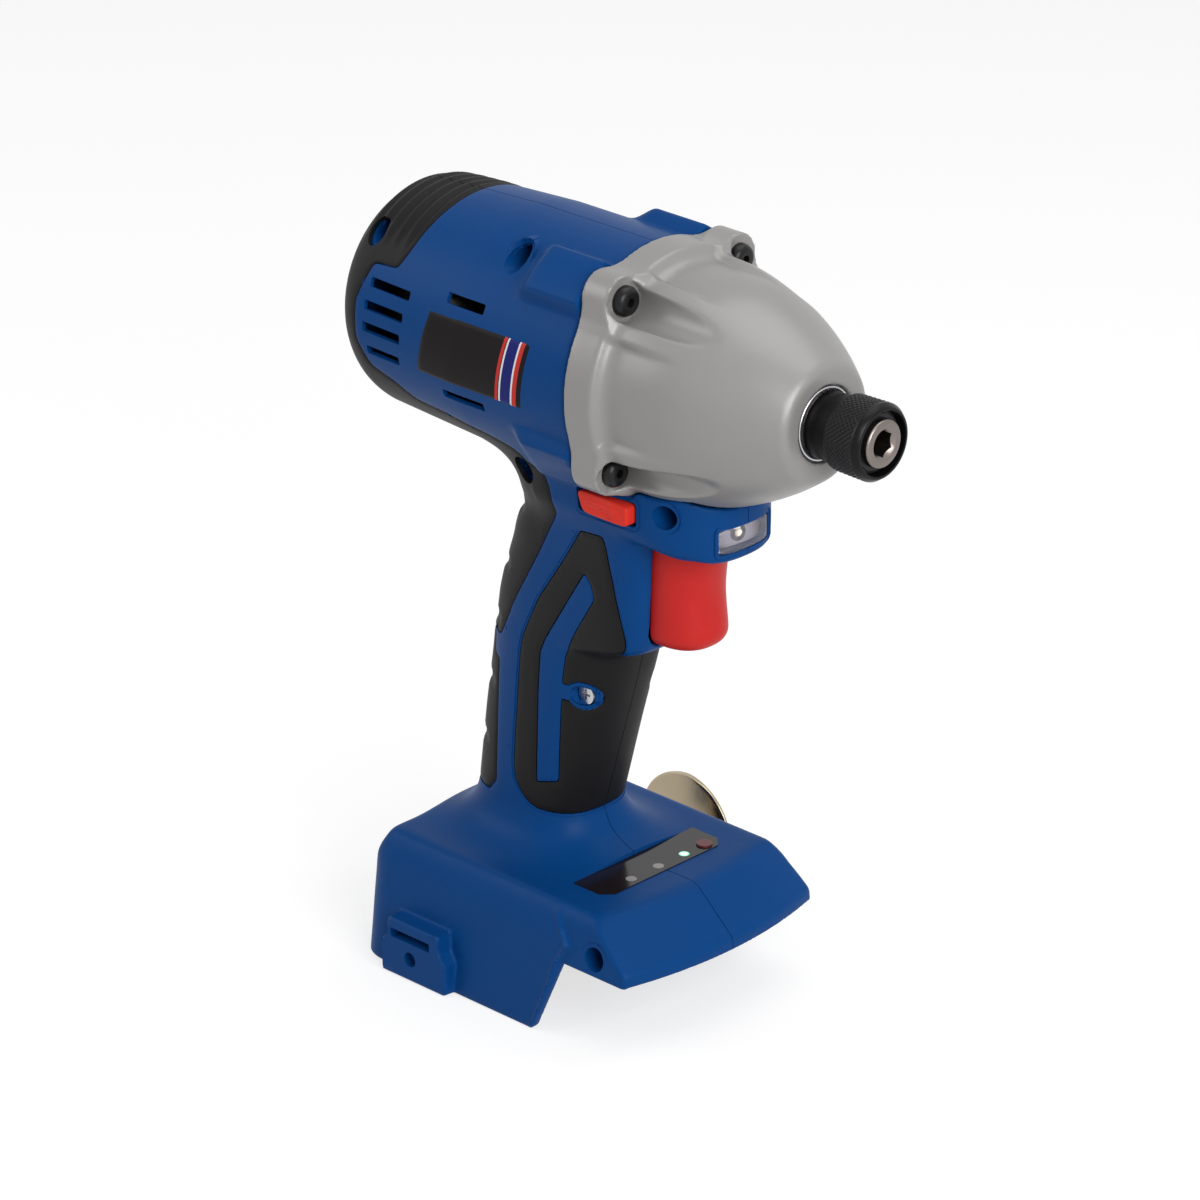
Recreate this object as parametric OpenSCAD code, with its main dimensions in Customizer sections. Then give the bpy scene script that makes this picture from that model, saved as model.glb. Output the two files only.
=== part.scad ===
// Cordless impact driver, bare tool, standing on its foot.
// +X points to the nose, +Y to the tool's left, +Z up. The origin lies on the base of the foot, on the
// parting plane, below the handle. Stations along the tool are measured from the flange plane, where the
// housing meets the hammer case, plus is forward.

/* [Overall] */
// Height of the spindle axis above the base of the foot
axis_z = 181.5; // [176:0.5:190]
// Distance from the origin forward to the flange plane
flange_x = 40; // [34:0.5:46]
// Radius of the motor barrel
barrel_r = 33.8; // [33.4:0.1:36]
// Length of the barrel behind the flange plane
tail_len = 90; // [89:0.5:96]
// Radius of the flat back of the tail
tail_flat_r = 22; // [18:0.5:25]
// Thickness of the soft overmoulded grips
grip_t = 1.4; // [0.8:0.1:1.8]
// Wall of the housing under the grips
wall = 2.2; // [1.6:0.1:2.6]
// Radial clearance of shafts in their bores
run_c = 0.05; // [0.02:0.01:0.09]
// Clearance around sliding and rotating pieces
slide_c = 0.3; // [0.2:0.05:0.5]

/* [Hammer case] */
// Length of the case in front of the flange plane
nose_len = 58.9; // [57:0.1:64]
// Radius of the case at its flange
case_flange_r = 34.6; // [34:0.1:36]
// Radius of the case behind its dome
case_r = 33; // [32.5:0.1:34]
// Radius of the nose at the mouth
mouth_r = 15.4; // [13:0.1:17]
// Power of the dome's curve
dome_power = 2.3; // [2:0.1:2.8]
// Radius of the bore that holds hammer and ring gear
case_bore_r = 25.2; // [25:0.1:25.6]
// Length of the spigot behind the flange plane
spigot_len = 22; // [21:0.5:23]
// Radius of the spigot
spigot_r = 29.5; // [28.5:0.1:29.8]
// Radius of each screw ear
ear_r = 6.6; // [6:0.1:7.5]
// Thickness of each screw ear
ear_t = 8.5; // [7:0.1:10]
// Screw axes, upper pair, out from the parting plane
ear_upper_y = 21.5; // [20:0.1:23]
// Screw axes, upper pair, above the spindle axis
ear_upper_z = 25.9; // [25:0.1:28]
// Screw axes, lower pair, out from the parting plane
ear_lower_y = 25.4; // [25:0.1:27]
// Screw axes, lower pair, below the spindle axis
ear_lower_z = 19.8; // [19.5:0.1:21]
// Radius of the case screws
case_screw_r = 2; // [1.5:0.1:2.4]

/* [Chuck] */
// Width across flats of the hex socket
hex_af = 6.45; // [6.38:0.01:6.6]
// Depth of the hex socket
hex_depth = 26; // [20:0.5:30]
// Radius of the anvil's nose
anvil_r = 6.5; // [6.3:0.05:6.8]
// Radius of the anvil in its bush
journal_r = 7; // [6.9:0.05:7.5]
// Length of the anvil in front of the case
anvil_proud = 19.5; // [18.5:0.1:24]
// Radius of the knurled sleeve
sleeve_r = 10.25; // [9.9:0.05:11]
// Length of the sleeve
sleeve_len = 17.2; // [16.5:0.1:17.6]
// Travel of the sleeve
sleeve_travel = 5; // [3:0.5:5.5]

/* [Impact mechanism] */
// Radius of the hammer
hammer_r = 24.2; // [22:0.1:24.6]
// Length of the hammer without its lugs
hammer_len = 25; // [24:0.5:26]
// Radius of the spindle shaft
spindle_r = 8; // [7:0.1:8.5]
// Radius of the spindle's front pilot
pilot_r = 4; // [3:0.1:4.5]
// Length of lugs and wings along the axis
lug_t = 6; // [5:0.1:6.4]
// Travel of the hammer
hammer_travel = 8; // [7:0.5:8.4]
// Wire diameter of the hammer spring
hammer_wire = 2.8; // [2:0.1:3]

/* [Gears] */
// Module of all teeth
tooth_m = 0.8; // [0.76:0.01:0.82]
// Width of the planet gears
planet_w = 6; // [5:0.1:6.4]
// Radius of the planet pins
pin_r = 2.5; // [2:0.1:3]

/* [Motor] */
// Outer radius of the motor can
can_r = 23.4; // [22.6:0.1:24]
// Wall of the motor can
can_t = 2; // [1.2:0.1:2.4]
// Radius of the armature
armature_r = 15.5; // [13:0.1:15.8]
// Radius of the armature shaft
shaft_r = 2.5; // [2.3:0.1:2.6]
// Radius of the commutator
commutator_r = 7.5; // [6.5:0.1:8]
// Radius of the fan
fan_r = 21; // [18:0.1:21.4]

/* [Handle and trigger] */
// Half width of the handle
handle_w = 16.7; // [15.8:0.1:18]
// Half width of the neck under the barrel
neck_w = 22; // [21.6:0.1:22.6]
// Half width of the trigger
trigger_w = 10.8; // [9:0.1:11]
// Travel of the trigger
trigger_travel = 8; // [5:0.5:8]
// Half width of the trigger switch
switch_w = 10.5; // [8:0.1:11]
// Travel of the direction selector to each side
selector_travel = 3; // [2:0.25:3]

/* [Foot] */
// Height of the foot
foot_h = 37; // [36:0.5:39]
// Half width of the foot at its base
foot_base_w = 40.5; // [40:0.1:42]
// Half width of the foot near its top
foot_top_w = 36.5; // [36:0.1:38]
// Height of the lip and of the battery bay
bay_h = 21.2; // [20.5:0.1:21.6]
// Rear of the foot behind the flange plane
foot_rear = 74; // [73:0.5:78]
// Lip of the foot in front of the flange plane
foot_front = 28.9; // [27:0.1:32]
// Wall of the skirts and of the rear of the foot
skirt_t = 3; // [2.4:0.1:3.4]
// Hook bosses beyond the base of the foot
boss_proud = 3.5; // [2.5:0.1:5]
// Hook screw behind the flange plane
hook_back = 49.8; // [48:0.1:52]
// Hook screw above the base
hook_z = 6.6; // [6:0.1:7.2]
// Core radius of the hook thread
hook_thread_r = 1.65; // [1.5:0.01:1.8]

/* [Belt hook] */
// Thickness of the hook strip
strip_t = 1.6; // [1.2:0.1:2]
// Radius of the hook's round end
hook_end_r = 17; // [14:0.1:18]
// Gap between the hook and its boss
hook_gap = 21.2; // [16:0.1:26]

/* [Indicator] */
// Half length of the panel
panel_y = 23.2; // [22:0.1:26]
// Width of the panel
panel_x = 12.4; // [11:0.1:13]
// Radius of the test button
button_r = 2.2; // [1.8:0.1:2.4]
// Travel of the test button
button_travel = 0.6; // [0.3:0.1:0.8]

/* [Hidden] */
$fn = 96;
eps = 0.01;
far = 120;

// Stations along the axis
plate_t = 2.8;
plate_front = -spigot_len;
plate_back = plate_front - plate_t;
locator_t = 1.5;
bearing_w = 5;
spindle_bearing_front = plate_front + 3.1;
spindle_bearing_back = spindle_bearing_front - bearing_w;
carrier_back = spindle_bearing_front + slide_c;
carrier_disc_t = 1.7;
planet_back = carrier_back + carrier_disc_t + slide_c;
planet_front = planet_back + planet_w;
carrier_face = planet_front + slide_c;
carrier_front_t = 3.8;
carrier_front = carrier_face + carrier_front_t;
ring_back = plate_front + locator_t;
ring_front = carrier_front - 1.5;
thrust_t = 1.2;
hammer_back = carrier_front + hammer_travel + 0.5;
hammer_front = hammer_back + hammer_len;
hub_back = carrier_front + thrust_t + hammer_travel + 0.6;
web_back = hammer_front - 10;
pilot_len = 9;
wing_back = hammer_front + 2 * slide_c;
wing_front = wing_back + lug_t;
anvil_washer_t = 1;
case_face = wing_front + anvil_washer_t + 0.2;
nose_ring_t = 1.7;
bush_back = case_face + 0.2;
bush_front = nose_len - nose_ring_t - 0.2;
anvil_tip = nose_len + anvil_proud;
sleeve_back = nose_len + 1.3;
sleeve_front = sleeve_back + sleeve_len;
sleeve_lip = 6;
ball_s = sleeve_back + sleeve_lip / 2;
ball_r = 1.5;
circlip_t = 0.8;
circlip_back = anvil_tip - 3;
washer_back = circlip_back - 0.8;
front_bearing_back = plate_back - bearing_w;
fan_front = front_bearing_back - 3.2;
fan_back = fan_front - 9;
core_front = fan_back - 5.5;
core_len = tail_len - 72.5;
core_back = core_front - core_len;
winding_len = 3;
commutator_front = core_back - winding_len - 0.6;
commutator_len = 4.6;
commutator_back = commutator_front - commutator_len;
holder_front = commutator_back - 0.2;
holder_t = 1.8;
can_back = holder_front - holder_t;
can_front = core_front + 1.5;
rear_bearing_back = can_back - 4.6;
shaft_end = rear_bearing_back - 0.4;
pinion_back = plate_front - 1.5;
pinion_front = planet_front - 0.4;

// Gearing
sun_teeth = 9;
planet_teeth = 21;
ring_teeth = sun_teeth + 2 * planet_teeth;
carrier_r = tooth_m * (sun_teeth + planet_teeth) / 2;
pressure = 25;
addendum = 0.85 * tooth_m;
dedendum = 1.1 * tooth_m;
tooth_thin = 0.12;
planet_angles = [90, 210, 330];
carrier_disc_r = carrier_r + pin_r + 2;

// Fits around the axis
hub_r = 8.45;
spindle_bearing_r = 13;
front_bearing_r = 8;
rear_bearing_r = 6.5;
bush_r = journal_r + 2.5;
nose_recess_r = 10;
spring_mean_r = 13.5;
wing_r = 20;
wing_w = 10;
magnet_gap = 0.6;
brush_w = 5.5;
brush_c = 0.1;

// Barrel
tail_curve_len = 13;
tail_r = barrel_r - 1.8;
waist = 42;
spigot_seat_r = spigot_r + run_c;
skin = grip_t + wall;
boss_ramp = [-33, -17];
boss_r = ear_r - 0.4;

// Handle sections from the foot up: height, rear, front, half width, squareness of the outline
handle_rows = [
  [foot_h - 4, -63, -7, handle_w + 6, 2.6],
  [foot_h + 1.5, -60.8, -13.2, handle_w + 2, 2.6],
  [foot_h + 5, -59.2, -17.4, handle_w + 0.4, 2.6],
  [foot_h + 11, -58.4, -18.7, handle_w - 0.2, 2.6],
  [72.8, -55.8, -11.6, handle_w, 2.5],
  [90, -53.2, -6.6, handle_w + 0.2, 2.5],
  [axis_z - 82.7, -52, -4.1, handle_w + 0.3, 2.6],
  [axis_z - 80.3, -51.4, 1.6, handle_w + 0.4, 2.7],
  [axis_z - 78.4, -50.9, 5.9, handle_w + 0.5, 2.8],
  [axis_z - 75.5, -50.2, 8.6, handle_w + 0.6, 3],
  [axis_z - 67.8, -48.1, 9.8, handle_w + 0.8, 3],
  [axis_z - 54.9, -43.4, 11, handle_w + 1, 3],
  [axis_z - 44.5, -40.8, 12, handle_w + 2.2, 3],
  [axis_z - 36.5, -41.2, 13, neck_w - 0.2, 3.2],
  [axis_z - 29.5, -44, 13, neck_w + 0.3, 3.2],
  [axis_z - 23.5, -46.5, 12, neck_w - 0.5, 3.2]
];
cavity_rows = 13;
ring_points = 22;

// Passage for the motor leads
lead_slot_x = [-36.8, -31.5];

// Chin under the case
chin_bottom = axis_z - 43.5;
chin_back = 8;
chin_front = 32.6;
chin_w = 20.5;
lens_half = 9.3;
lens_bottom = axis_z - 41.9;
lens_top = axis_z - 35;
lens_back = 28.4;

// Trigger group
trigger_top = axis_z - 44.5;
trigger_bottom = trigger_top - 30;
trigger_back = 7.5;
trigger_front = 22.6;
trigger_mid = 10;
trigger_round = 4.5;
switch_front = trigger_back - trigger_travel - 0.5;
switch_len = 30;
switch_bottom = axis_z - 69.5;
switch_top = axis_z - 47.5;
plunger_z = axis_z - 58.5;
plunger_r = 2.6;
spring_seat = 15;
spring_bore_r = 6;
selector_x = [-7, 12.8];
selector_z = [axis_z - 36.2, axis_z - 28.8];
selector_bar_x = [-2, 8];
selector_bar_z = [axis_z - 39.8, axis_z - 36];
selector_leg_y = [14.5, 16.5];
selector_leg_top = axis_z - 33;
paddle_y = [15, 24];

// Foot
foot_edge_z = foot_h - 3;
front_curve_r = 134;
front_slope = 13.7;
lip_h = 3.7;
rear_corner_r = 8;
skirt_front = [-7, 1];
cavity_floor = bay_h + 2.2;
foot_cavity_rear = 8;
foot_cavity_front = -10;
rail_z = [8, 11];
rail_in = 4.5;

// Housing screws: station, height, recess radius, depth of the seat from the parting plane
screw_rows = [
  [-30.3, axis_z + 26.8, 3.2, 9],
  [10 - tail_len, axis_z + 22.3, 3.2, 9],
  [plate_back - 5, axis_z - 31.8, 3.2, 9],
  [17.2, axis_z - 35.2, 3.1, 9],
  [-14.2, 86.8, 3.1, 9.8],
  [12.5, 26.3, 3.4, 12]
];
screw_r = 1.5;
screw_head_r = 2.7;
screw_head_t = 2;
screw_reach = 8;
boss_wall = 1.2;

// Indicator
panel_center = -1.6;
panel_t = 1;
panel_proud = 0.25;
light_y = [-10.8, -0.2, 9.9];
light_x = 1.6;
light_r = 1.5;
button_y = 17.9;
board_x = [panel_center - 4.2, panel_center + 5.2];
board_z = foot_h - 4.2;
board_t = 1.2;
button_floor = board_z + board_t + button_travel + 0.2;
button_stop = foot_h - panel_t + panel_proud;

// Hook
boss_y = foot_base_w + boss_proud;
boss_x = [-61, -36.5];
boss_top = 17;
slot_z = 12.7;
slot_h = 2.5;
slot_len = 15;
hook_base_w = 16;
hook_floor = 0.6;
insert_r = 2.9;
insert_y = [boss_y - 7.6, boss_y - 2.4];
hook_hole_r = 2.15;

// Colours
blue = [0.09, 0.27, 0.53];
rubber = [0.16, 0.15, 0.15];
cast_grey = [0.63, 0.62, 0.61];
steel = [0.75, 0.75, 0.77];
black = [0.07, 0.07, 0.07];
red = [0.78, 0.16, 0.14];
brass = [0.8, 0.62, 0.25];
copper = [0.72, 0.4, 0.2];
dark_red = [0.35, 0.05, 0.06];

// Placement helpers
module on_axis() translate([flange_x, 0, axis_z]) rotate([0, 90, 0]) children();
module at_flange() translate([flange_x, 0, 0]) children();
module turned(profile) on_axis() rotate_extrude() polygon(profile);
module ring(r_in, r_out, s0, s1) turned([[r_in, s0], [r_out, s0], [r_out, s1], [r_in, s1]]);
module rod(r, s0, s1) on_axis() translate([0, 0, s0]) cylinder(r = r, h = s1 - s0);
module side_prism(outline, y0, y1)
  at_flange() translate([0, y1, 0]) rotate([90, 0, 0]) linear_extrude(y1 - y0) polygon(outline);
module block(x, y, z)
  at_flange() translate([x[0], y[0], z[0]]) cube([x[1] - x[0], y[1] - y[0], z[1] - z[0]]);
module cross_rod(x, z, r, y0, y1)
  at_flange() translate([x, y1, z]) rotate([90, 0, 0]) cylinder(r = r, h = y1 - y0);
module along_rod(y, z, r, s0, s1)
  at_flange() translate([s0, y, z]) rotate([0, 90, 0]) cylinder(r = r, h = s1 - s0);
module right_side() intersection() {
  children();
  block([-far, far], [-far, 0], [-far, 3 * far]);
}
module left_side() mirror([0, 1, 0]) children();

// Solid through stacked rings of points, lowest ring first
module loft(rings) {
  n = len(rings[0]);
  last = len(rings) - 1;
  sides = [for (i = [0:last - 1], j = [0:n - 1]) let (a = i * n + j, b = i * n + (j + 1) % n)
    each [[a, a + n, b + n], [a, b + n, b]]];
  caps = [[for (j = [0:n - 1]) j], [for (j = [n - 1:-1:0]) last * n + j]];
  polyhedron(points = [for (r = rings) each r], faces = concat(sides, caps));
}

// Round wire wound about the axis from s0 to s1
module coil(mean_r, wire_r, s0, s1, turns) {
  steps = ceil(turns * 16);
  sides = 6;
  loft([for (i = [0:steps])
    let (a = 360 * turns * i / steps, z = s0 + wire_r + (s1 - s0 - 2 * wire_r) * i / steps)
    [for (j = [0:sides - 1]) let (b = -360 * j / sides, r = mean_r + wire_r * cos(b))
      [r * cos(a), r * sin(a), z + wire_r * sin(b)]]]);
}

// Superellipse with half sizes a and b, squareness n
function oval(a, b, n, t) = [
  a * sign(cos(t)) * pow(abs(cos(t)), 2 / n),
  b * sign(sin(t)) * pow(abs(sin(t)), 2 / n)
];
function handle_ring(row, inset) = [for (j = [0:ring_points - 1])
  let (p = oval((row[2] - row[1]) / 2 - inset, row[3] - inset, row[4], 360 * (j + 0.5) / ring_points))
  [(row[1] + row[2]) / 2 + p[0], p[1], row[0]]];

// Outer form of the barrel, drawn in by an inset
function tail_curve(inset) = [for (a = [90:-10:0]) [
  tail_flat_r + (tail_r - tail_flat_r - inset) * cos(a),
  tail_curve_len - tail_len - (tail_curve_len - inset) * sin(a)
]];
module barrel_form(inset) turned(concat(
  [[0, inset - tail_len]],
  tail_curve(inset),
  [[barrel_r - inset, -waist], [barrel_r - inset, 0], [0, 0]]
));
module handle_form(inset, rows) at_flange()
  loft([for (i = [0:rows - 1]) handle_ring(handle_rows[i], inset)]);

// Dome of the hammer case, grown by a clearance
function dome_r(s) = case_r - (case_r - mouth_r) * pow(max(0, s - 6) / (nose_len - 6), dome_power);
function dome_profile(c) = concat(
  [[case_flange_r + c, 0], [case_flange_r + c, 5]],
  [for (i = [0:18]) let (s = 6.5 + (nose_len - 7.3) * i / 18) [dome_r(s) + c, s]],
  [[mouth_r - 1.2 + c, nose_len]]
);
ear_places = [for (side = [-1, 1]) each [
  [side * ear_upper_y, axis_z + ear_upper_z],
  [side * ear_lower_y, axis_z - ear_lower_z]
]];
module case_clearance() {
  turned(concat([[0, 0]], dome_profile(slide_c), [[0, nose_len]]));
  for (p = ear_places) along_rod(p[0], p[1], ear_r + slide_c, 0, ear_t + slide_c);
}

// Outline of a toothed wheel
function roll(base, r) = let (a = acos(min(1, base / max(r, base)))) tan(a) * 180 / PI - a;
function tooth_half(teeth, thin, r) = let (pitch = tooth_m * teeth / 2, base = pitch * cos(pressure))
  (PI * tooth_m / 2 - thin) / (2 * pitch) * 180 / PI + roll(base, pitch) - roll(base, r);
function wheel(teeth, above, below, thin, phase) = let (pitch = tooth_m * teeth / 2,
    base = pitch * cos(pressure), low = max(base, pitch - below),
    flank = [pitch - below, low + (pitch + above - low) * 0.5, pitch + above])
  [for (k = [0:teeth - 1]) let (mid = phase + 360 * k / teeth) each concat(
    [for (r = flank) let (a = mid - tooth_half(teeth, thin, r)) [r * cos(a), r * sin(a)]],
    [for (i = [2:-1:0]) let (r = flank[i], a = mid + tooth_half(teeth, thin, r))
      [r * cos(a), r * sin(a)]])];
module toothed(teeth, above, below, thin, phase, s0, s1)
  translate([0, 0, s0]) linear_extrude(s1 - s0) polygon(wheel(teeth, above, below, thin, phase));

// Side outlines of the soft grips, station and height
rear_grip_outline = [
  [27.2 - tail_len, axis_z + 50], [27.2 - tail_len, axis_z + 33], [24.6 - tail_len, axis_z + 21],
  [22.8 - tail_len, axis_z + 16.6], [14.1 - tail_len, axis_z + 16], [10.2 - tail_len, axis_z + 5.6],
  [10.2 - tail_len, axis_z - 5], [14 - tail_len, axis_z - 12.5], [22 - tail_len, axis_z - 15.3],
  [28 - tail_len, axis_z - 19.3], [-0.567 * tail_len, axis_z - 20], [-38, axis_z - 22.2],
  [-28, axis_z - 24.6], [-24.6, axis_z - 27.4], [-19, axis_z - 28.5], [-17.4, axis_z - 33],
  [-16.6, axis_z - 40.4], [-20.8, axis_z - 46.4], [-29.2, axis_z - 60.6], [-37.3, axis_z - 74.1],
  [-41.2, axis_z - 82], [-42.7, axis_z - 84.9], [-60, axis_z - 84.9], [-20 - tail_len, axis_z - 60],
  [-20 - tail_len, axis_z + 50]
];
lower_grip_outline = [[-44.6, 90.3], [-45, 53.3], [-48, 49.5], [-75, 49.5], [-75, 90.3]];
pad_outline = [
  [-9.2, axis_z - 43.6], [-1.2, axis_z - 43], [-0.2, axis_z - 52], [1.2, axis_z - 58.4],
  [2.7, axis_z - 63.4], [3.6, axis_z - 67.4], [4.4, axis_z - 71], [4, axis_z - 75.5],
  [1.5, axis_z - 79.6], [-3.9, axis_z - 82.5],
  [20, axis_z - 84], [20, foot_h + 11.5], [-20, foot_h + 11.5], [-31, foot_h + 12.5],
  [-36.3, foot_h + 18], [-37, foot_h + 24], [-34.9, 85.3], [-33.9, axis_z - 85.2], [-32.5, axis_z - 80.5],
  [-26.6, axis_z - 68.8]
];
stripe_outline = [
  [-9.1, axis_z - 56.4], [-6.9, axis_z - 59.2], [-6, axis_z - 63.1], [-12.9, axis_z - 74.2],
  [-17.8, axis_z - 83.3], [-19.3, 90.1], [-22.6, foot_h + 22], [-29, foot_h + 20.6], [-27.3, 87.9],
  [-26.4, axis_z - 84.1], [-24.4, axis_z - 79.9], [-10, axis_z - 57.3]
];
pad_screw = screw_rows[4];
pad_screw_island_r = 4.1;
pad_screw_island_y = pad_screw[3] - 0.4;
pad_bridge = 2.4;

// Half of the body without cavities, and the skin that the grips fill
module body_form(inset) {
  right_side() barrel_form(inset);
  right_side() handle_form(inset, len(handle_rows));
}
module grip_skin(outline, barrel) intersection() {
  difference() {
    if (barrel) body_form(0); else right_side() handle_form(0, len(handle_rows));
    if (barrel) body_form(grip_t); else right_side() handle_form(grip_t, len(handle_rows));
    case_clearance();
  }
  side_prism(outline, -far / 2, eps);
}
module screw_recesses() for (row = screw_rows) cross_rod(row[0], row[1], row[2], -far / 2, -row[3]);

module rear_grip_half() color(rubber) difference() {
  grip_skin(rear_grip_outline, true);
  screw_recesses();
}
module lower_grip_half() color(rubber) grip_skin(lower_grip_outline, false);
module palm_pad_half() color(rubber) difference() {
  grip_skin(pad_outline, false);
  side_prism(stripe_outline, -far / 2, far / 2);
  cross_rod(pad_screw[0], pad_screw[1], pad_screw_island_r, -far / 2, -pad_screw_island_y);
  block([pad_screw[0] - 7, pad_screw[0]], [-far / 2, -pad_screw_island_y],
    [pad_screw[1] - pad_bridge, pad_screw[1] + pad_bridge]);
  trigger_room();
}

// Room for the trigger and its travel
module trigger_room() block([switch_front + 0.2, 40], [-trigger_w - slide_c, trigger_w + slide_c],
  [trigger_bottom - slide_c, trigger_top + slide_c]);

// Right half of the foot, solid
module foot_half() right_side() intersection() {
  at_flange() translate([-foot_rear - 1, 0, 0]) rotate([90, 0, 90]) linear_extrude(far)
    polygon([[-foot_base_w, 0], [-foot_top_w, foot_edge_z], [3 - foot_top_w, foot_h],
      [foot_top_w - 3, foot_h], [foot_top_w, foot_edge_z], [foot_base_w, 0]]);
  side_prism([[-foot_rear, 0], [-foot_rear, foot_h - 10], [5.5 - foot_rear, foot_h - 1],
    [7 - foot_rear, foot_h], [foot_front, foot_h], [foot_front, bay_h], [skirt_front[1], bay_h],
    [skirt_front[0], 0]], -foot_base_w, foot_base_w);
  at_flange() translate([foot_front - front_curve_r, 0, 0]) rotate_extrude()
    polygon([[0, 0], [front_curve_r, 0], [front_curve_r, bay_h + lip_h],
      [front_curve_r - front_slope, foot_h], [0, foot_h]]);
  at_flange() linear_extrude(foot_h) polygon(concat(
    [[foot_front, foot_base_w], [foot_front, -foot_base_w]],
    [for (a = [270:-15:180]) rear_corner(a, 1)], [for (a = [180:-15:90]) rear_corner(a, -1)]));
}
function rear_corner(a, side) = [
  rear_corner_r * (cos(a) + 1) - foot_rear,
  rear_corner_r * (sin(a) + side) - side * foot_base_w
];
function skirt_inner(z) = foot_base_w - skirt_t - (foot_base_w - foot_top_w) * z / foot_edge_z;
module battery_bay() at_flange() translate([skirt_t - foot_rear, 0, 0]) rotate([90, 0, 90])
  linear_extrude(far) polygon([[-skirt_inner(-1), -1], [-skirt_inner(bay_h), bay_h],
    [skirt_inner(bay_h), bay_h], [skirt_inner(-1), -1]]);
module bay_rail() block([skirt_t - foot_rear - 0.5, skirt_front[0] - 3],
  [-skirt_inner(rail_z[1]) - 0.5, rail_in - skirt_inner(rail_z[0])], rail_z);
module hook_boss() difference() {
  block(boss_x, [-boss_y, -skirt_inner(boss_top) - 0.5], [0, boss_top]);
  block([-hook_back - slot_len / 2, -hook_back + slot_len / 2], [-boss_y - 1, -boss_y + 4],
    [slot_z - slot_h / 2, slot_z + slot_h / 2]);
}

// Inside of the barrel, with the ribs that hold the motor
module barrel_cavity() turned([
  [0, 3 - tail_len], [tail_flat_r - 2, 3 - tail_len], [tail_r - 5.5, 6.5 - tail_len],
  [tail_r - 3.2, tail_curve_len - 1 - tail_len], [barrel_r - skin, -waist],
  [barrel_r - skin, plate_back - 1], [spigot_seat_r, plate_back - 1], [spigot_seat_r, 1], [0, 1]
]);
module motor_ribs() right_side() intersection() {
  union() {
    ring(can_r, barrel_r, can_back + 1.2, can_back + 3.2);
    ring(can_r, barrel_r, can_front - 4, can_front - 2);
    ring(rear_bearing_r + 2.5, barrel_r, rear_bearing_back, rear_bearing_back + 2);
  }
  barrel_form(1);
}
module screw_bosses() intersection() {
  right_side() for (row = screw_rows) cross_rod(row[0], row[1], row[2] + boss_wall, -far / 2, 0);
  union() {
    body_form(grip_t);
    chin_form();
    foot_half();
  }
}
module case_bosses() for (p = ear_places) if (p[0] < 0) {
  along_rod(p[0], p[1], boss_r, boss_ramp[1], 0);
  at_flange() translate([boss_ramp[0], p[0], p[1]]) rotate([0, 90, 0])
    cylinder(r1 = 1, r2 = boss_r, h = boss_ramp[1] - boss_ramp[0]);
}
module switch_ribs() for (x = [-26, -8])
  block([x - 1, x + 1], [-handle_w + 1, -switch_w], [switch_bottom, switch_top]);
module chin_form() right_side() at_flange() translate([0, 0, chin_bottom]) linear_extrude(22)
  polygon(concat([[chin_back - 6, -chin_w], [chin_back - 6, chin_w]],
    [for (t = [90:-7.5:-90]) let (p = oval(chin_front - chin_back, chin_w, 2.4, t))
      [chin_back + p[0], p[1]]]));
module selector_room() {
  reach = selector_leg_y[1] + selector_travel + slide_c;
  start = selector_leg_y[0] - selector_travel - slide_c;
  block([selector_bar_x[0] - slide_c, selector_bar_x[1] + slide_c], [-reach, reach],
    [selector_bar_z[0] - slide_c, selector_bar_z[1] + slide_c]);
  for (side = [-1, 1]) on_side(side) block([selector_x[0] - slide_c, selector_x[1] + slide_c],
    [-far, -start], [selector_z[0] - slide_c, selector_z[1] + slide_c]);
}
module on_side(side) if (side < 0) children(); else mirror([0, 1, 0]) children();
module vent(x0, x1, deg) on_axis() rotate([0, 0, 270 - deg]) translate([barrel_r - 8, -1.3, x0])
  cube([20, 2.6, x1 - x0]);
vents = [[16 - tail_len, 30.4 - tail_len, 20], [15 - tail_len, 29 - tail_len, 9],
  [14.5 - tail_len, 28 - tail_len, -1.5], [17.7 - tail_len, 27 - tail_len, -13], [-45.7, -32.5, 26.5],
  [-44, -31.6, -21]];
module lens_block() block([lens_back, far], [-lens_half, lens_half], [lens_bottom, lens_top]);

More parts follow.
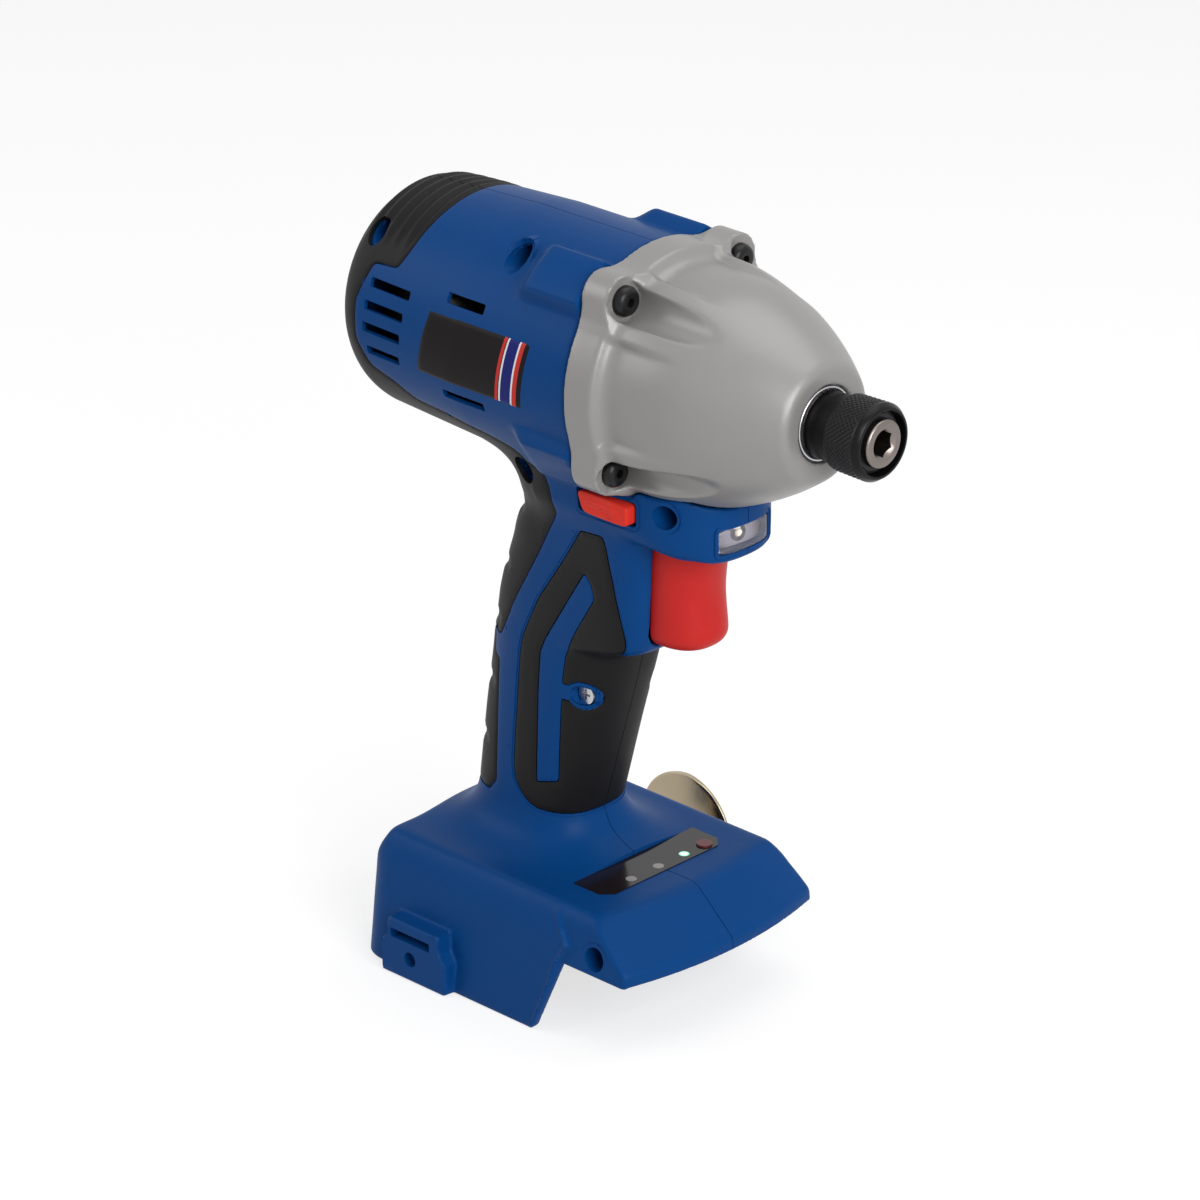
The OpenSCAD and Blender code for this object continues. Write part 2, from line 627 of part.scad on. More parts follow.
module housing_half(pilot) color(blue) difference() {
  union() {
    difference() {
      union() {
        body_form(0);
        right_side() case_bosses();
        chin_form();
        foot_half();
        hook_boss();
      }
      barrel_cavity();
      handle_form(skin, cavity_rows);
      block([foot_cavity_rear - foot_rear, foot_cavity_front], [skirt_t - foot_top_w, foot_top_w - skirt_t],
        [cavity_floor, foot_h - wall]);
      battery_bay();
      block(lead_slot_x, [-6, 6], [axis_z - 48, axis_z - 28]);
    }
    right_side() bay_rail();
    motor_ribs();
    screw_bosses();
    switch_ribs();
  }
  case_clearance();
  rear_grip_half();
  lower_grip_half();
  palm_pad_half();
  trigger_room();
  selector_room();
  lens_block();
  block([26.2, lens_back + eps], [-7.3, 7.3], [lens_bottom + 0.2, lens_top - 0.2]);
  panel_outline(foot_h - panel_t + panel_proud, far);
  block([board_x[0] - 0.2, board_x[1] + 0.2], [-panel_y + 2, panel_y - 2], [board_z, foot_h]);
  if (pilot) at_flange() translate([light_x, -button_y, board_z]) cylinder(r = button_r + 0.6, h = far);
  for (v = vents) vent(v[0], v[1], v[2]);
  for (p = ear_places) along_rod(p[0], p[1], case_screw_r, -16, 1);
  if (pilot) for (row = screw_rows) cross_rod(row[0], row[1], screw_r, -screw_reach, eps);
  else {
    for (row = screw_rows) cross_rod(row[0], row[1], screw_r + 0.2, -row[3] - 1, eps);
    screw_recesses();
  }
  cross_rod(-hook_back, hook_z, hook_hole_r, -boss_y - 1, -insert_y[1] + eps);
  cross_rod(-hook_back, hook_z, insert_r, -insert_y[1], -insert_y[0]);
}
module housing_right() housing_half(false);
module housing_left() left_side() housing_half(true);
module rear_grip_right() rear_grip_half();
module rear_grip_left() left_side() rear_grip_half();
module lower_grip_right() lower_grip_half();
module lower_grip_left() left_side() lower_grip_half();
module palm_pad_right() palm_pad_half();
module palm_pad_left() left_side() palm_pad_half();

// Nose
module hammer_case() color(cast_grey) difference() {
  union() {
    turned(concat([[case_bore_r, plate_front], [spigot_r, plate_front], [spigot_r, 0]], dome_profile(0),
      [[nose_recess_r, nose_len], [nose_recess_r, nose_len - nose_ring_t], [bush_r, nose_len - nose_ring_t],
      [bush_r, case_face], [case_bore_r - 2, case_face], [case_bore_r, case_face - 2]]));
    for (p = ear_places) difference() {
      along_rod(p[0], p[1], ear_r, 0, ear_t);
      rod(case_bore_r + 1, -1, ear_t + 1);
    }
  }
  for (p = ear_places) {
    along_rod(p[0], p[1], case_screw_r + 0.2, -1, ear_t + 1);
    along_rod(p[0], p[1], ear_r - 1.6, ear_t, nose_len);
  }
}
module case_screws() color(black) for (p = ear_places) difference() {
  union() {
    along_rod(p[0], p[1], case_screw_r, -15, ear_t + 1);
    along_rod(p[0], p[1], 2.05 * case_screw_r, ear_t, ear_t + 2.8);
  }
  along_rod(p[0], p[1], 1.1, ear_t + 1.2, ear_t + 3);
}
module nose_ring() color(steel)
  ring(journal_r + slide_c, nose_recess_r, nose_len - nose_ring_t, nose_len - 0.2);
module anvil_bush() color(brass) ring(journal_r + run_c, bush_r, bush_back, bush_front);
module anvil_washer() color(black) ring(journal_r + run_c, 14, wing_front + 0.1, case_face);

// Anvil and chuck
module anvil() color(steel) difference() {
  union() {
    turned([[0, wing_back], [10, wing_back], [10, wing_front], [journal_r, wing_front],
      [journal_r, nose_len],
      [anvil_r, nose_len + 0.5], [anvil_r, circlip_back], [anvil_r - 0.5, circlip_back],
      [anvil_r - 0.5, circlip_back + circlip_t], [anvil_r, circlip_back + circlip_t],
      [anvil_r, anvil_tip - 0.6], [anvil_r - 0.6, anvil_tip], [0, anvil_tip]]);
    on_axis() intersection() {
      translate([-wing_r, -wing_w / 2, wing_back]) cube([2 * wing_r, wing_w, lug_t]);
      cylinder(r = wing_r, h = far);
    }
  }
  rod(pilot_r + run_c, wing_back - 1, wing_back + pilot_len);
  on_axis() translate([0, 0, anvil_tip - hex_depth])
    cylinder(r = hex_af / 2 / cos(30), h = hex_depth + 1, $fn = 6);
  on_axis() for (a = [0, 180]) rotate([0, 0, a]) translate([0, 0, ball_s]) rotate([0, 90, 0])
    cylinder(r = ball_r + 0.02, h = far);
}
module detent_balls() color(steel) on_axis() for (a = [0, 180]) rotate([0, 0, a])
  translate([anvil_r - ball_r - 0.05, 0, ball_s]) sphere(r = ball_r);
module chuck_sleeve() color(black) turned([
  [anvil_r + run_c, sleeve_back], [sleeve_r - 1.4, sleeve_back], [sleeve_r - 1.4, sleeve_back + 3],
  [sleeve_r, sleeve_back + 3.4], [sleeve_r, sleeve_back + 11.3], [sleeve_r - 0.25, sleeve_back + 11.8],
  [sleeve_r - 0.25, sleeve_front - 1.4], [sleeve_r - 1.2, sleeve_front], [sleeve_r - 1.65, sleeve_front],
  [sleeve_r - 1.65, sleeve_back + sleeve_lip], [anvil_r + run_c, sleeve_back + sleeve_lip]
]);
module sleeve_spring() color(steel) on_axis()
  coil((anvil_r + sleeve_r - 1.65) / 2, 0.45, sleeve_back + sleeve_lip, washer_back, 3);
module sleeve_washer() color(black) ring(anvil_r + run_c, sleeve_r - 1.9, washer_back, circlip_back);
module sleeve_circlip() color(steel)
  ring(anvil_r - 0.5, anvil_r + 1, circlip_back, circlip_back + circlip_t);

// Impact mechanism
module hammer() color(steel) difference() {
  union() {
    turned([[spindle_r + run_c, hub_back], [spring_mean_r - 2.2, hub_back], [spring_mean_r - 2.2, web_back],
      [spring_mean_r + 2.2, web_back], [spring_mean_r + 2.2, hammer_back], [hammer_r, hammer_back],
      [hammer_r, hammer_front], [spindle_r + run_c, hammer_front]]);
    on_axis() intersection() {
      translate([-wing_w / 2, -hammer_r, hammer_front]) cube([wing_w, 2 * hammer_r, lug_t]);
      difference() {
        cylinder(r = wing_r, h = far);
        cylinder(r = 11, h = far);
      }
    }
  }
  on_axis() for (a = [0, 180]) rotate([0, 0, a]) translate([spindle_r, 0, hammer_front - 14])
    cylinder(r = ball_r + 1.1, h = hammer_travel + 6);
}
module cam_balls() color(steel) on_axis() for (a = [0, 180]) rotate([0, 0, a])
  translate([spindle_r, 0, hammer_front - 11]) sphere(r = ball_r + 1);
module hammer_spring() color(steel) on_axis()
  coil(spring_mean_r, hammer_wire / 2, carrier_front + thrust_t, web_back, 4.5);
module thrust_washer() color(steel)
  ring(spindle_r + run_c, spring_mean_r + 1.8, carrier_front, carrier_front + thrust_t);

// Gearing
module at_planets() on_axis() for (a = planet_angles) rotate([0, 0, a]) translate([carrier_r, 0, 0])
  children();
module spindle() color(steel) difference() {
  union() {
    turned([[6, spindle_bearing_back], [hub_r, spindle_bearing_back], [hub_r, carrier_back],
      [carrier_disc_r, carrier_back], [carrier_disc_r, carrier_back + carrier_disc_t],
      [6, carrier_back + carrier_disc_t]]);
    turned([[0, carrier_face], [carrier_disc_r, carrier_face], [carrier_disc_r, carrier_front],
      [spindle_r, carrier_front], [spindle_r, hammer_front], [pilot_r, hammer_front],
      [pilot_r, hammer_front + pilot_len], [0, hammer_front + pilot_len]]);
    on_axis() for (a = planet_angles) rotate([0, 0, a + 60]) translate([carrier_r + 1.4, 0, carrier_back])
      cylinder(r = 2.8, h = carrier_front - carrier_back - 0.5);
  }
  at_planets() translate([0, 0, carrier_back - 1])
    cylinder(r = pin_r, h = carrier_front - carrier_back + 2);
  on_axis() for (a = [0, 180]) rotate([0, 0, a]) translate([spindle_r, 0, hammer_front - 11])
    sphere(r = ball_r + 1.02);
}
module planet_pins() color(steel) at_planets() translate([0, 0, carrier_back])
  cylinder(r = pin_r, h = carrier_front - carrier_back);
module planet_gear(i) color(steel) on_axis() {
  a = planet_angles[i];
  phase = a + 180 - (0.5 - a * sun_teeth / 360) * 360 / planet_teeth;
  translate([carrier_r * cos(a), carrier_r * sin(a), 0]) difference() {
    toothed(planet_teeth, addendum, dedendum, tooth_thin, phase, planet_back, planet_front);
    translate([0, 0, planet_back - 1]) cylinder(r = pin_r + run_c, h = planet_w + 2);
  }
}
module planet_gear_1() planet_gear(0);
module planet_gear_2() planet_gear(1);
module planet_gear_3() planet_gear(2);
module ring_gear() color(steel) on_axis() difference() {
  translate([0, 0, ring_back]) cylinder(r = case_bore_r, h = ring_front - ring_back);
  toothed(ring_teeth, dedendum, addendum, -tooth_thin, 0, ring_back - 1, ring_front + 1);
}
module gear_plate() color(black) turned([
  [5, plate_back], [front_bearing_r, plate_back], [front_bearing_r, front_bearing_back],
  [front_bearing_r + 2.5, front_bearing_back], [front_bearing_r + 2.5, plate_back], [spigot_r, plate_back],
  [spigot_r, plate_front], [case_bore_r, plate_front], [case_bore_r, plate_front + locator_t],
  [case_bore_r - 3.3, plate_front + locator_t], [case_bore_r - 3.3, plate_front],
  [spindle_bearing_r + 3, plate_front], [spindle_bearing_r + 3, spindle_bearing_front - 0.3],
  [spindle_bearing_r, spindle_bearing_front - 0.3], [spindle_bearing_r, spindle_bearing_back],
  [5, spindle_bearing_back]
]);
module spindle_bearing() color(steel)
  ring(hub_r + run_c, spindle_bearing_r, spindle_bearing_back, spindle_bearing_front);

// Motor
module motor_can() color(steel) ring(can_r - can_t, can_r, can_back, can_front);
module field_magnets() color(black) on_axis() for (a = [25, 205]) rotate([0, 0, a])
  rotate_extrude(angle = 130) polygon([[armature_r + magnet_gap, core_back - 1],
    [can_r - can_t, core_back - 1], [can_r - can_t, core_front + 1],
    [armature_r + magnet_gap, core_front + 1]]);
module armature_core() color(steel) on_axis() difference() {
  translate([0, 0, core_back]) cylinder(r = armature_r, h = core_front - core_back);
  translate([0, 0, core_back - 1]) cylinder(r = shaft_r, h = far);
  for (a = [0:30:330]) rotate([0, 0, a]) translate([armature_r - 4.5, -0.9, core_back - 1])
    cube([far, 1.8, far]);
}
module windings() color(copper) {
  ring(shaft_r + 2.5, armature_r - 2, core_front, core_front + winding_len);
  ring(shaft_r + 2.5, armature_r - 2, core_back - winding_len, core_back);
}
module armature_shaft() color(steel) turned([
  [0, shaft_end], [shaft_r, shaft_end], [shaft_r, pinion_back - 0.5],
  [shaft_r - 0.5, pinion_back - 0.5], [shaft_r - 0.5, pinion_front], [0, pinion_front]
]);
module commutator() color(copper) on_axis() difference() {
  translate([0, 0, commutator_back]) cylinder(r = commutator_r, h = commutator_len);
  translate([0, 0, commutator_back - 1]) cylinder(r = shaft_r, h = far);
}
module motor_pinion() color(steel) on_axis() difference() {
  toothed(sun_teeth, addendum, dedendum, tooth_thin, 0, pinion_back, pinion_front);
  translate([0, 0, pinion_back - 1]) cylinder(r = shaft_r - 0.5, h = far);
}
module motor_fan() color(black) {
  turned([[shaft_r, fan_back], [fan_r, fan_back], [fan_r, fan_back + 1.2], [6, fan_back + 1.2],
    [6, fan_front], [shaft_r, fan_front]]);
  on_axis() for (a = [0:360 / 11:359]) rotate([0, 0, a]) translate([5.5, -0.6, fan_back + 1])
    cube([fan_r - 6.5, 1.2, fan_front - fan_back - 2]);
}
module front_bearing() color(steel) ring(shaft_r + run_c, front_bearing_r, front_bearing_back, plate_back);
module rear_bearing() color(steel) ring(shaft_r + run_c, rear_bearing_r, rear_bearing_back, can_back);
module brush_holder() color(black) difference() {
  union() {
    turned([[rear_bearing_r, rear_bearing_back], [rear_bearing_r + 2.5, rear_bearing_back],
      [rear_bearing_r + 2.5, can_back], [can_r - can_t, can_back], [can_r - can_t, holder_front],
      [4, holder_front], [4, can_back], [rear_bearing_r, can_back]]);
    for (side = [-1, 1]) on_side(side) at_brush(9, 11, brush_w / 2 + 1.2, commutator_len + 0.4);
  }
  for (side = [-1, 1]) on_side(side) at_brush(8, 20, brush_w / 2, commutator_len - 0.6);
}
module at_brush(y, len, half, h) translate([0, -y - len, 0]) at_flange()
  translate([holder_front - eps, 0, axis_z - half]) cube([h, len, 2 * half]);
module carbon_brushes() color(black) for (side = [-1, 1]) on_side(side) difference() {
  at_brush(commutator_r - 1.5, 11, brush_w / 2, commutator_len - 0.6);
  rod(commutator_r + brush_c, holder_front - 1, commutator_front + 1);
}

// Trigger, switch and selector
trigger_outline = [
  [trigger_back, trigger_bottom], [trigger_front - 5.1, trigger_bottom],
  [trigger_front - 2.4, trigger_bottom + 0.8], [trigger_front - 1, trigger_bottom + 2.2],
  [trigger_front - 0.6, trigger_bottom + 4], [trigger_front - 1.2, trigger_top - 23],
  [trigger_front - 1.9, trigger_top - 18.3], [trigger_front - 2.2, trigger_top - 14],
  [trigger_front - 1.5, trigger_top - 8.3], [trigger_front - 0.6, trigger_top - 4],
  [trigger_front, trigger_top], [trigger_back, trigger_top]
];
function trigger_corner(side, t) = [
  side * (trigger_w - trigger_round + trigger_round * cos(t)), trigger_round * (1 - sin(t))
];
module trigger_face() at_flange() translate([0, 0, trigger_bottom]) rotate([90, 0, 90])
  linear_extrude(far) polygon([
    for (t = [90:-15:0]) trigger_corner(-1, t),
    [-trigger_w, far], [trigger_w, far],
    for (t = [0:15:90]) trigger_corner(1, t)
  ]);
module trigger() color(red) difference() {
  intersection() {
    side_prism(trigger_outline, -trigger_w, trigger_w);
    at_flange() linear_extrude(far * 2) polygon(concat(
      [[trigger_back, -trigger_w], [trigger_back, trigger_w]],
      [for (t = [90:-10:-90]) let (p = oval(trigger_front - trigger_mid, trigger_w, 2.2, t))
        [trigger_mid + p[0], p[1]]]));
    trigger_face();
  }
  along_rod(0, plunger_z, spring_bore_r, trigger_back - 1, spring_seat);
  along_rod(0, plunger_z, plunger_r, spring_seat - 1, spring_seat + 4);
}
module trigger_plunger() color(black)
  along_rod(0, plunger_z, plunger_r, switch_front - 1.5, spring_seat + 4);
module trigger_spring() color(steel) at_flange() translate([0, 0, plunger_z]) rotate([0, 90, 0])
  coil(4.3, 0.5, switch_front, spring_seat, 6);
module switch_body() color(black) difference() {
  block([switch_front - switch_len, switch_front], [-switch_w, switch_w], [switch_bottom, switch_top]);
  along_rod(0, plunger_z, plunger_r + run_c, switch_front - trigger_travel - 3, switch_front + 1);
}
paddle_outline = [
  [selector_x[0], selector_z[1] - 0.8], [selector_x[0] + 0.8, selector_z[1]],
  [selector_x[1] - 1.6, selector_z[1]], [selector_x[1], selector_z[1] - 1.6],
  [selector_x[1] - 0.4, selector_z[0] + 1.4], [selector_x[1] - 1.8, selector_z[0]],
  [selector_x[0] + 2.6, selector_z[0]]
];
module direction_selector() color([0.85, 0.22, 0.14]) {
  for (side = [-1, 1]) on_side(side) difference() {
    side_prism(paddle_outline, -paddle_y[1], -paddle_y[0]);
    for (shift = [-selector_travel, 0]) translate([0, shift, 0]) case_clearance();
  }
  for (side = [-1, 1]) on_side(side)
    block(selector_bar_x, [-selector_leg_y[1], -selector_leg_y[0]], [selector_bar_z[0], selector_leg_top]);
  block(selector_bar_x, [-selector_leg_y[1], selector_leg_y[1]], selector_bar_z);
}

// Work light
module led_lens() color([0.85, 0.87, 0.9]) difference() {
  intersection() {
    union() {
      chin_form();
      left_side() chin_form();
    }
    lens_block();
  }
  along_rod(0, (lens_bottom + lens_top) / 2, 2.6, lens_back - 1, lens_back + 2.4);
}
module led_board() color([0.9, 0.9, 0.85]) {
  block([lens_back - 1.6, lens_back], [-7, 7], [lens_bottom + 0.4, lens_top - 0.4]);
  along_rod(0, (lens_bottom + lens_top) / 2, 2.4, lens_back - 0.1, lens_back + 2);
}

// Label on the barrel
label_s = [36.5 - tail_len, -15];
label_deg = [-13, 18.3];
label_t = 0.2;
label_mid = max(-waist, label_s[0] + 1);
barrel_fall = (barrel_r - tail_r) / (tail_len - tail_curve_len - waist);
function barrel_at(s) = barrel_r - barrel_fall * max(0, -s - waist);
module side_label() color(black) on_axis() rotate([0, 0, 270 - label_deg[1]])
  rotate_extrude(angle = label_deg[1] - label_deg[0])
  polygon([[barrel_at(label_s[0]), label_s[0]], [barrel_at(label_s[0]) + label_t, label_s[0]],
    [barrel_at(label_mid) + label_t, label_mid], [barrel_r + label_t, label_s[1]], [barrel_r, label_s[1]],
    [barrel_at(label_mid), label_mid]]);

// Indicator
module panel_outline(z0, z1) at_flange() translate([panel_center, 0, z0]) linear_extrude(z1 - z0)
  polygon([[-panel_x / 2, -panel_y], [panel_x / 2 - 3, -panel_y], [panel_x / 2, 3 - panel_y],
    [panel_x / 2, panel_y - 3], [panel_x / 2 - 3, panel_y], [-panel_x / 2, panel_y]]);
module indicator_panel() color(black) difference() {
  panel_outline(foot_h - panel_t + panel_proud, foot_h + panel_proud);
  at_flange() for (y = light_y) translate([light_x, y, 0]) cylinder(r = light_r, h = far);
  at_flange() translate([light_x, button_y, 0]) cylinder(r = button_r + run_c, h = far);
}
module indicator_board() color([0.1, 0.35, 0.2]) {
  block(board_x, [-panel_y + 2.2, panel_y - 2.2], [board_z, board_z + board_t]);
  at_flange() for (y = light_y) translate([light_x, y, board_z])
    cylinder(r = light_r, h = foot_h + panel_proud - board_z);
}
module indicator_button() color(dark_red) at_flange() translate([light_x, button_y, 0]) rotate_extrude()
  polygon([[0, button_floor], [button_r + 0.3, button_floor], [button_r + 0.3, button_stop],
    [button_r, button_stop], [button_r, foot_h + panel_proud + 0.5], [0, foot_h + panel_proud + 0.5]]);

// Battery terminals
block_x = [-62, -30];
module terminal_block() color(black) {
  block(block_x, [-24, 24], [9, bay_h]);
  block([block_x[1] - eps, -14], [-26, 26], [bay_h - 3, bay_h]);
}
module terminal_blades() color(copper) for (y = [-14, -5, 5, 14])
  block([block_x[1], -16], [y - 0.6, y + 0.6], [10.5, 15.5]);

// Belt hook
module belt_hook() color([0.72, 0.66, 0.55]) {
  out = boss_y + hook_gap;
  difference() {
    block([-hook_back - hook_base_w / 2, -hook_back + hook_base_w / 2], [boss_y, boss_y + strip_t],
      [hook_floor, slot_z + slot_h / 2 - 0.3]);
    cross_rod(-hook_back, hook_z, hook_hole_r, boss_y - 1, boss_y + strip_t + 1);
  }
  block([-hook_back - slot_len / 2 + 0.3, -hook_back + slot_len / 2 - 0.3], [boss_y - 3.5, boss_y + eps],
    [slot_z + slot_h / 2 - 0.3 - strip_t, slot_z + slot_h / 2 - 0.3]);
  block([-hook_back - hook_base_w / 2, -hook_back + hook_base_w / 2], [boss_y + strip_t - eps, out + eps],
    [hook_floor, hook_floor + strip_t]);
  intersection() {
    cross_rod(-hook_back, hook_z + 0.9, hook_end_r, out, out + strip_t);
    block([-far, far], [out, out + strip_t], [hook_floor, far]);
  }
}
module hook_screw() color(black) {
  cross_rod(-hook_back, hook_z, hook_thread_r, insert_y[0] + 0.5, boss_y + strip_t + 0.1);
  cross_rod(-hook_back, hook_z, 3.6, boss_y + strip_t, boss_y + strip_t + 2.4);
}
module hook_inserts() color(brass) for (side = [-1, 1]) on_side(side) difference() {
  cross_rod(-hook_back, hook_z, insert_r, -insert_y[1], -insert_y[0]);
  cross_rod(-hook_back, hook_z, hook_thread_r, -insert_y[1] - 1, -insert_y[0] + 1);
}

module housing_screws() color(steel) for (row = screw_rows) difference() {
  union() {
    cross_rod(row[0], row[1], screw_head_r, -row[3] - screw_head_t, -row[3]);
    cross_rod(row[0], row[1], screw_r, -row[3] - 0.1, screw_reach);
  }
  for (turn = [0, 90]) at_flange() translate([row[0], -row[3] - screw_head_t, row[1]]) rotate([0, turn, 0])
    cube([3, 2, 0.7], center = true);
}

housing_right();
housing_left();
rear_grip_right();
rear_grip_left();
lower_grip_right();
lower_grip_left();
palm_pad_right();
palm_pad_left();
hammer_case();
case_screws();
nose_ring();
anvil_bush();
anvil_washer();
anvil();
detent_balls();
chuck_sleeve();
sleeve_spring();
sleeve_washer();
sleeve_circlip();
hammer();
hammer_spring();
thrust_washer();
spindle();
cam_balls();
planet_pins();
planet_gear_1();
planet_gear_2();
planet_gear_3();
ring_gear();
gear_plate();
spindle_bearing();
motor_can();
field_magnets();
armature_core();
windings();
armature_shaft();
commutator();
motor_pinion();
motor_fan();
front_bearing();
rear_bearing();
brush_holder();
carbon_brushes();
trigger();
trigger_plunger();
trigger_spring();
switch_body();
direction_selector();
led_lens();
led_board();
side_label();
indicator_panel();
indicator_board();
indicator_button();
terminal_block();
terminal_blades();
belt_hook();
hook_screw();
hook_inserts();
housing_screws();
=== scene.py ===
import bpy
import math
import numpy as np
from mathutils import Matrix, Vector


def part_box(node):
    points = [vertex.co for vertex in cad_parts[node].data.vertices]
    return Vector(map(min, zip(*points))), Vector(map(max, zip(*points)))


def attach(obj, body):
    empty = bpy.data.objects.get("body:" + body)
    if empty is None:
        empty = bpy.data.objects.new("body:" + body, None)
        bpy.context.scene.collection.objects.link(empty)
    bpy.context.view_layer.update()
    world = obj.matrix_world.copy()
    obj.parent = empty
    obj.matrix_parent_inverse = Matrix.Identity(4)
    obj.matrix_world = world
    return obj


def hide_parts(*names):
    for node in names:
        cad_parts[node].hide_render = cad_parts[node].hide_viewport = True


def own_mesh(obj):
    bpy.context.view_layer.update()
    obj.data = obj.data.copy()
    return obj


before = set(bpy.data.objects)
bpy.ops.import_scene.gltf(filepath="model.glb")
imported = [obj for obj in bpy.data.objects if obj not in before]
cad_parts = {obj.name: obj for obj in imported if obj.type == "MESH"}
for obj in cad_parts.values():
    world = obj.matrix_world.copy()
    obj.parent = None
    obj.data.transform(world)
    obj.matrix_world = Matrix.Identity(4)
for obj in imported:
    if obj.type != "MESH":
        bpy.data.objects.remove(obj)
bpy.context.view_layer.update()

# Shapes are worked out in millimetres. Stations run along the spindle from the flange plane, plus is forward.
FLANGE = 40.0
AXIS = 181.5
MM = 0.001

# Barrel: full radius and the station where it is reached, radius and station where the tail starts
BARREL_R, BARREL_AT = 33.8, -42.0
TAIL_R, TAIL_AT = 32.0, -77.0
TAIL_LENGTH, TAIL_ROUND, TAIL_SCALE = 13.0, 10.0, 10.5

# Screw ears of the nose: side and height of each, how far it lifts the barrel, and where that starts
EARS = [(21.5, AXIS + 25.9), (25.4, AXIS - 19.8)]
EAR_LIFTS = (4.9, 3.2)
EAR_STARTS = (-25, -24)
EAR_RAMP = 7

# Cast nose: dome, flange band, hollow step, low strips, ears with a root nearer the spindle, grooves, bores
DOME_R, DOME_DROP, DOME_FROM, DOME_LENGTH, DOME_POWER = 33, 17.6, 6, 52.9, 2.3
BAND_R, BAND_END, EAR_FACE, NOSE_END = 34.8, 9.0, 8.5, 58.9
STEP_DEPTH, STRIP_HEIGHT = 2.3, 2.1
EAR_R, ROOT_R, ROOT_AT, GROOVE_R, GROOVE_AT = 6.6, 7.6, 0.86, 5.4, 0.985
HAMMER_ROOM_R, HAMMER_ROOM_END = 25.2, 34.8
BUSH_R, BUSH_END = 9.5, 57.5
RING_SEAT_R, RING_SEAT_AT = 10.4, 57.2
CASE_GAP = 0.35

# Handle and chin: levels of the ends, then the oval of the chin, its floor and how far that sags
HANDLE_LOW, HANDLE_HIGH, CHIN_TOP, CHIN_REAR = 33, 160, 160, -20
CHIN_FROM, CHIN_REACH, CHIN_HALF, CHIN_POWER, CHIN_DRAW = 8, 24.6, 20.5, 2.4, 2.7
CHIN_FLOOR, CHIN_SAG = 139.2, 2.5

# Trigger and its room
ROOM_HALF, ROOM_FLOOR, ROOM_TOP, ROOM_BACK, ROOM_FRONT, ROOM_ROUND = 11.0, 106.75, 141, -0.8, 24.3, 4.7
TRIGGER_HALF, TRIGGER_LOW, TRIGGER_HIGH, TRIGGER_BACK = 10.75, 107.0, 140.4, 7.55

# Foot: rear, top, half width at the floor, how far the sides lean in over a height, front arc, battery bay
FOOT_REAR, FOOT_TOP, FOOT_HALF, FOOT_LEAN, LEAN_HEIGHT = -74, 37, 40.5, 4, 34
ARC_AT, ARC_R, FOOT_LIP = -105.1, 134, 24.9
BAY_HALF, BAY_REAR, BAY_TOP, SKIRT_FRONT, SKIRT_LEAN = 37.5, -71, 21.2, -7, 8
# Its slopes, each as a rise, a run and their length together, with the level where the rear one starts
REAR_RISE, REAR_RUN, REAR_LONG, REAR_FROM = 9, 5.5, 10.55, 27
FRONT_RISE, FRONT_RUN, FRONT_LONG = 12.1, 13.7, 18.28
SHOULDER, DIAGONAL = 70.5, 0.7071
# Hook bosses and battery rails
BOSS_REAR, BOSS_FRONT, BOSS_HALF, BOSS_TOP, BOSS_IN = -61, -36.5, 44, 17, 30
RAIL_REAR, RAIL_FRONT, RAIL_IN, RAIL_OUT, RAIL_Z, RAIL_HALF = -64, -10, 32.1, 38, 9.5, 1.5

# Wall, depth of the seat under the grips, gap round them, seam, opening behind the nose
WALL, GRIP_SEAT, GAP, SEAM = 1.25, 1.4, 0.16, 0.11
MOUTH_R = 30.0

# Work light and belt hook
LIGHT_Z, LIGHT_HALF_Y, LIGHT_HALF_Z = 143.05, 9.3, 3.45
HOOK_AT, HOOK_SCREW_Z, HOOK_HOLE_R = -49.8, 6.6, 2.15


# Small tools for fields
def blend_min(a, b, k):
    """Smaller of two fields with the crease rounded over a width k."""
    h = np.clip(0.5 + 0.5 * (b - a) / k, 0.0, 1.0)
    return b * (1 - h) + a * h - k * h * (1 - h)


def blend_max(a, b, k):
    """Larger of two fields with the crease rounded over a width k."""
    return -blend_min(-a, -b, k)


def ease(x, a, b):
    """Smooth step from 0 at a to 1 at b."""
    t = np.clip((x - a) / (b - a), 0.0, 1.0)
    return t * t * (3 - 2 * t)


def bell(d, width):
    """Rounded bump of height 1 at distance 0."""
    return np.exp(-(d / width) ** 2)


def eased_outline(points, reach):
    """Closed outline with each corner swept as a short curve that starts a reach away from it."""
    p = np.asarray(points, float)
    reach = np.reshape(reach, (-1, 1))
    back, ahead = np.roll(p, 1, axis=0) - p, np.roll(p, -1, axis=0) - p
    lb, la = np.linalg.norm(back, axis=1, keepdims=True), np.linalg.norm(ahead, axis=1, keepdims=True)
    a = p + back / lb * np.minimum(reach, 0.45 * lb)
    b = p + ahead / la * np.minimum(reach, 0.45 * la)
    t = np.linspace(0, 1, 5)[None, :, None]
    curve = a[:, None] * (1 - t) ** 2 + p[:, None] * 2 * t * (1 - t) + b[:, None] * t ** 2
    return curve.reshape(-1, 2)


def outline_field(x, z, points):
    """Signed distance to a closed outline, plus inside."""
    p = np.asarray(points, float)
    q = np.roll(p, -1, axis=0)
    best = np.full(x.shape, 1e9)
    sign = np.ones(x.shape)
    for (ax, az), (bx, bz) in zip(p, q):
        ex, ez = bx - ax, bz - az
        wx, wz = x - ax, z - az
        t = np.clip((wx * ex + wz * ez) / (ex * ex + ez * ez), 0, 1)
        best = np.minimum(best, (wx - ex * t) ** 2 + (wz - ez * t) ** 2)
        c1, c2, c3 = z >= az, z < bz, ex * wz > ez * wx
        flip = (c1 & c2 & c3) | (~c1 & ~c2 & ~c3)
        sign = np.where(flip, -sign, sign)
    return -sign * np.sqrt(best)


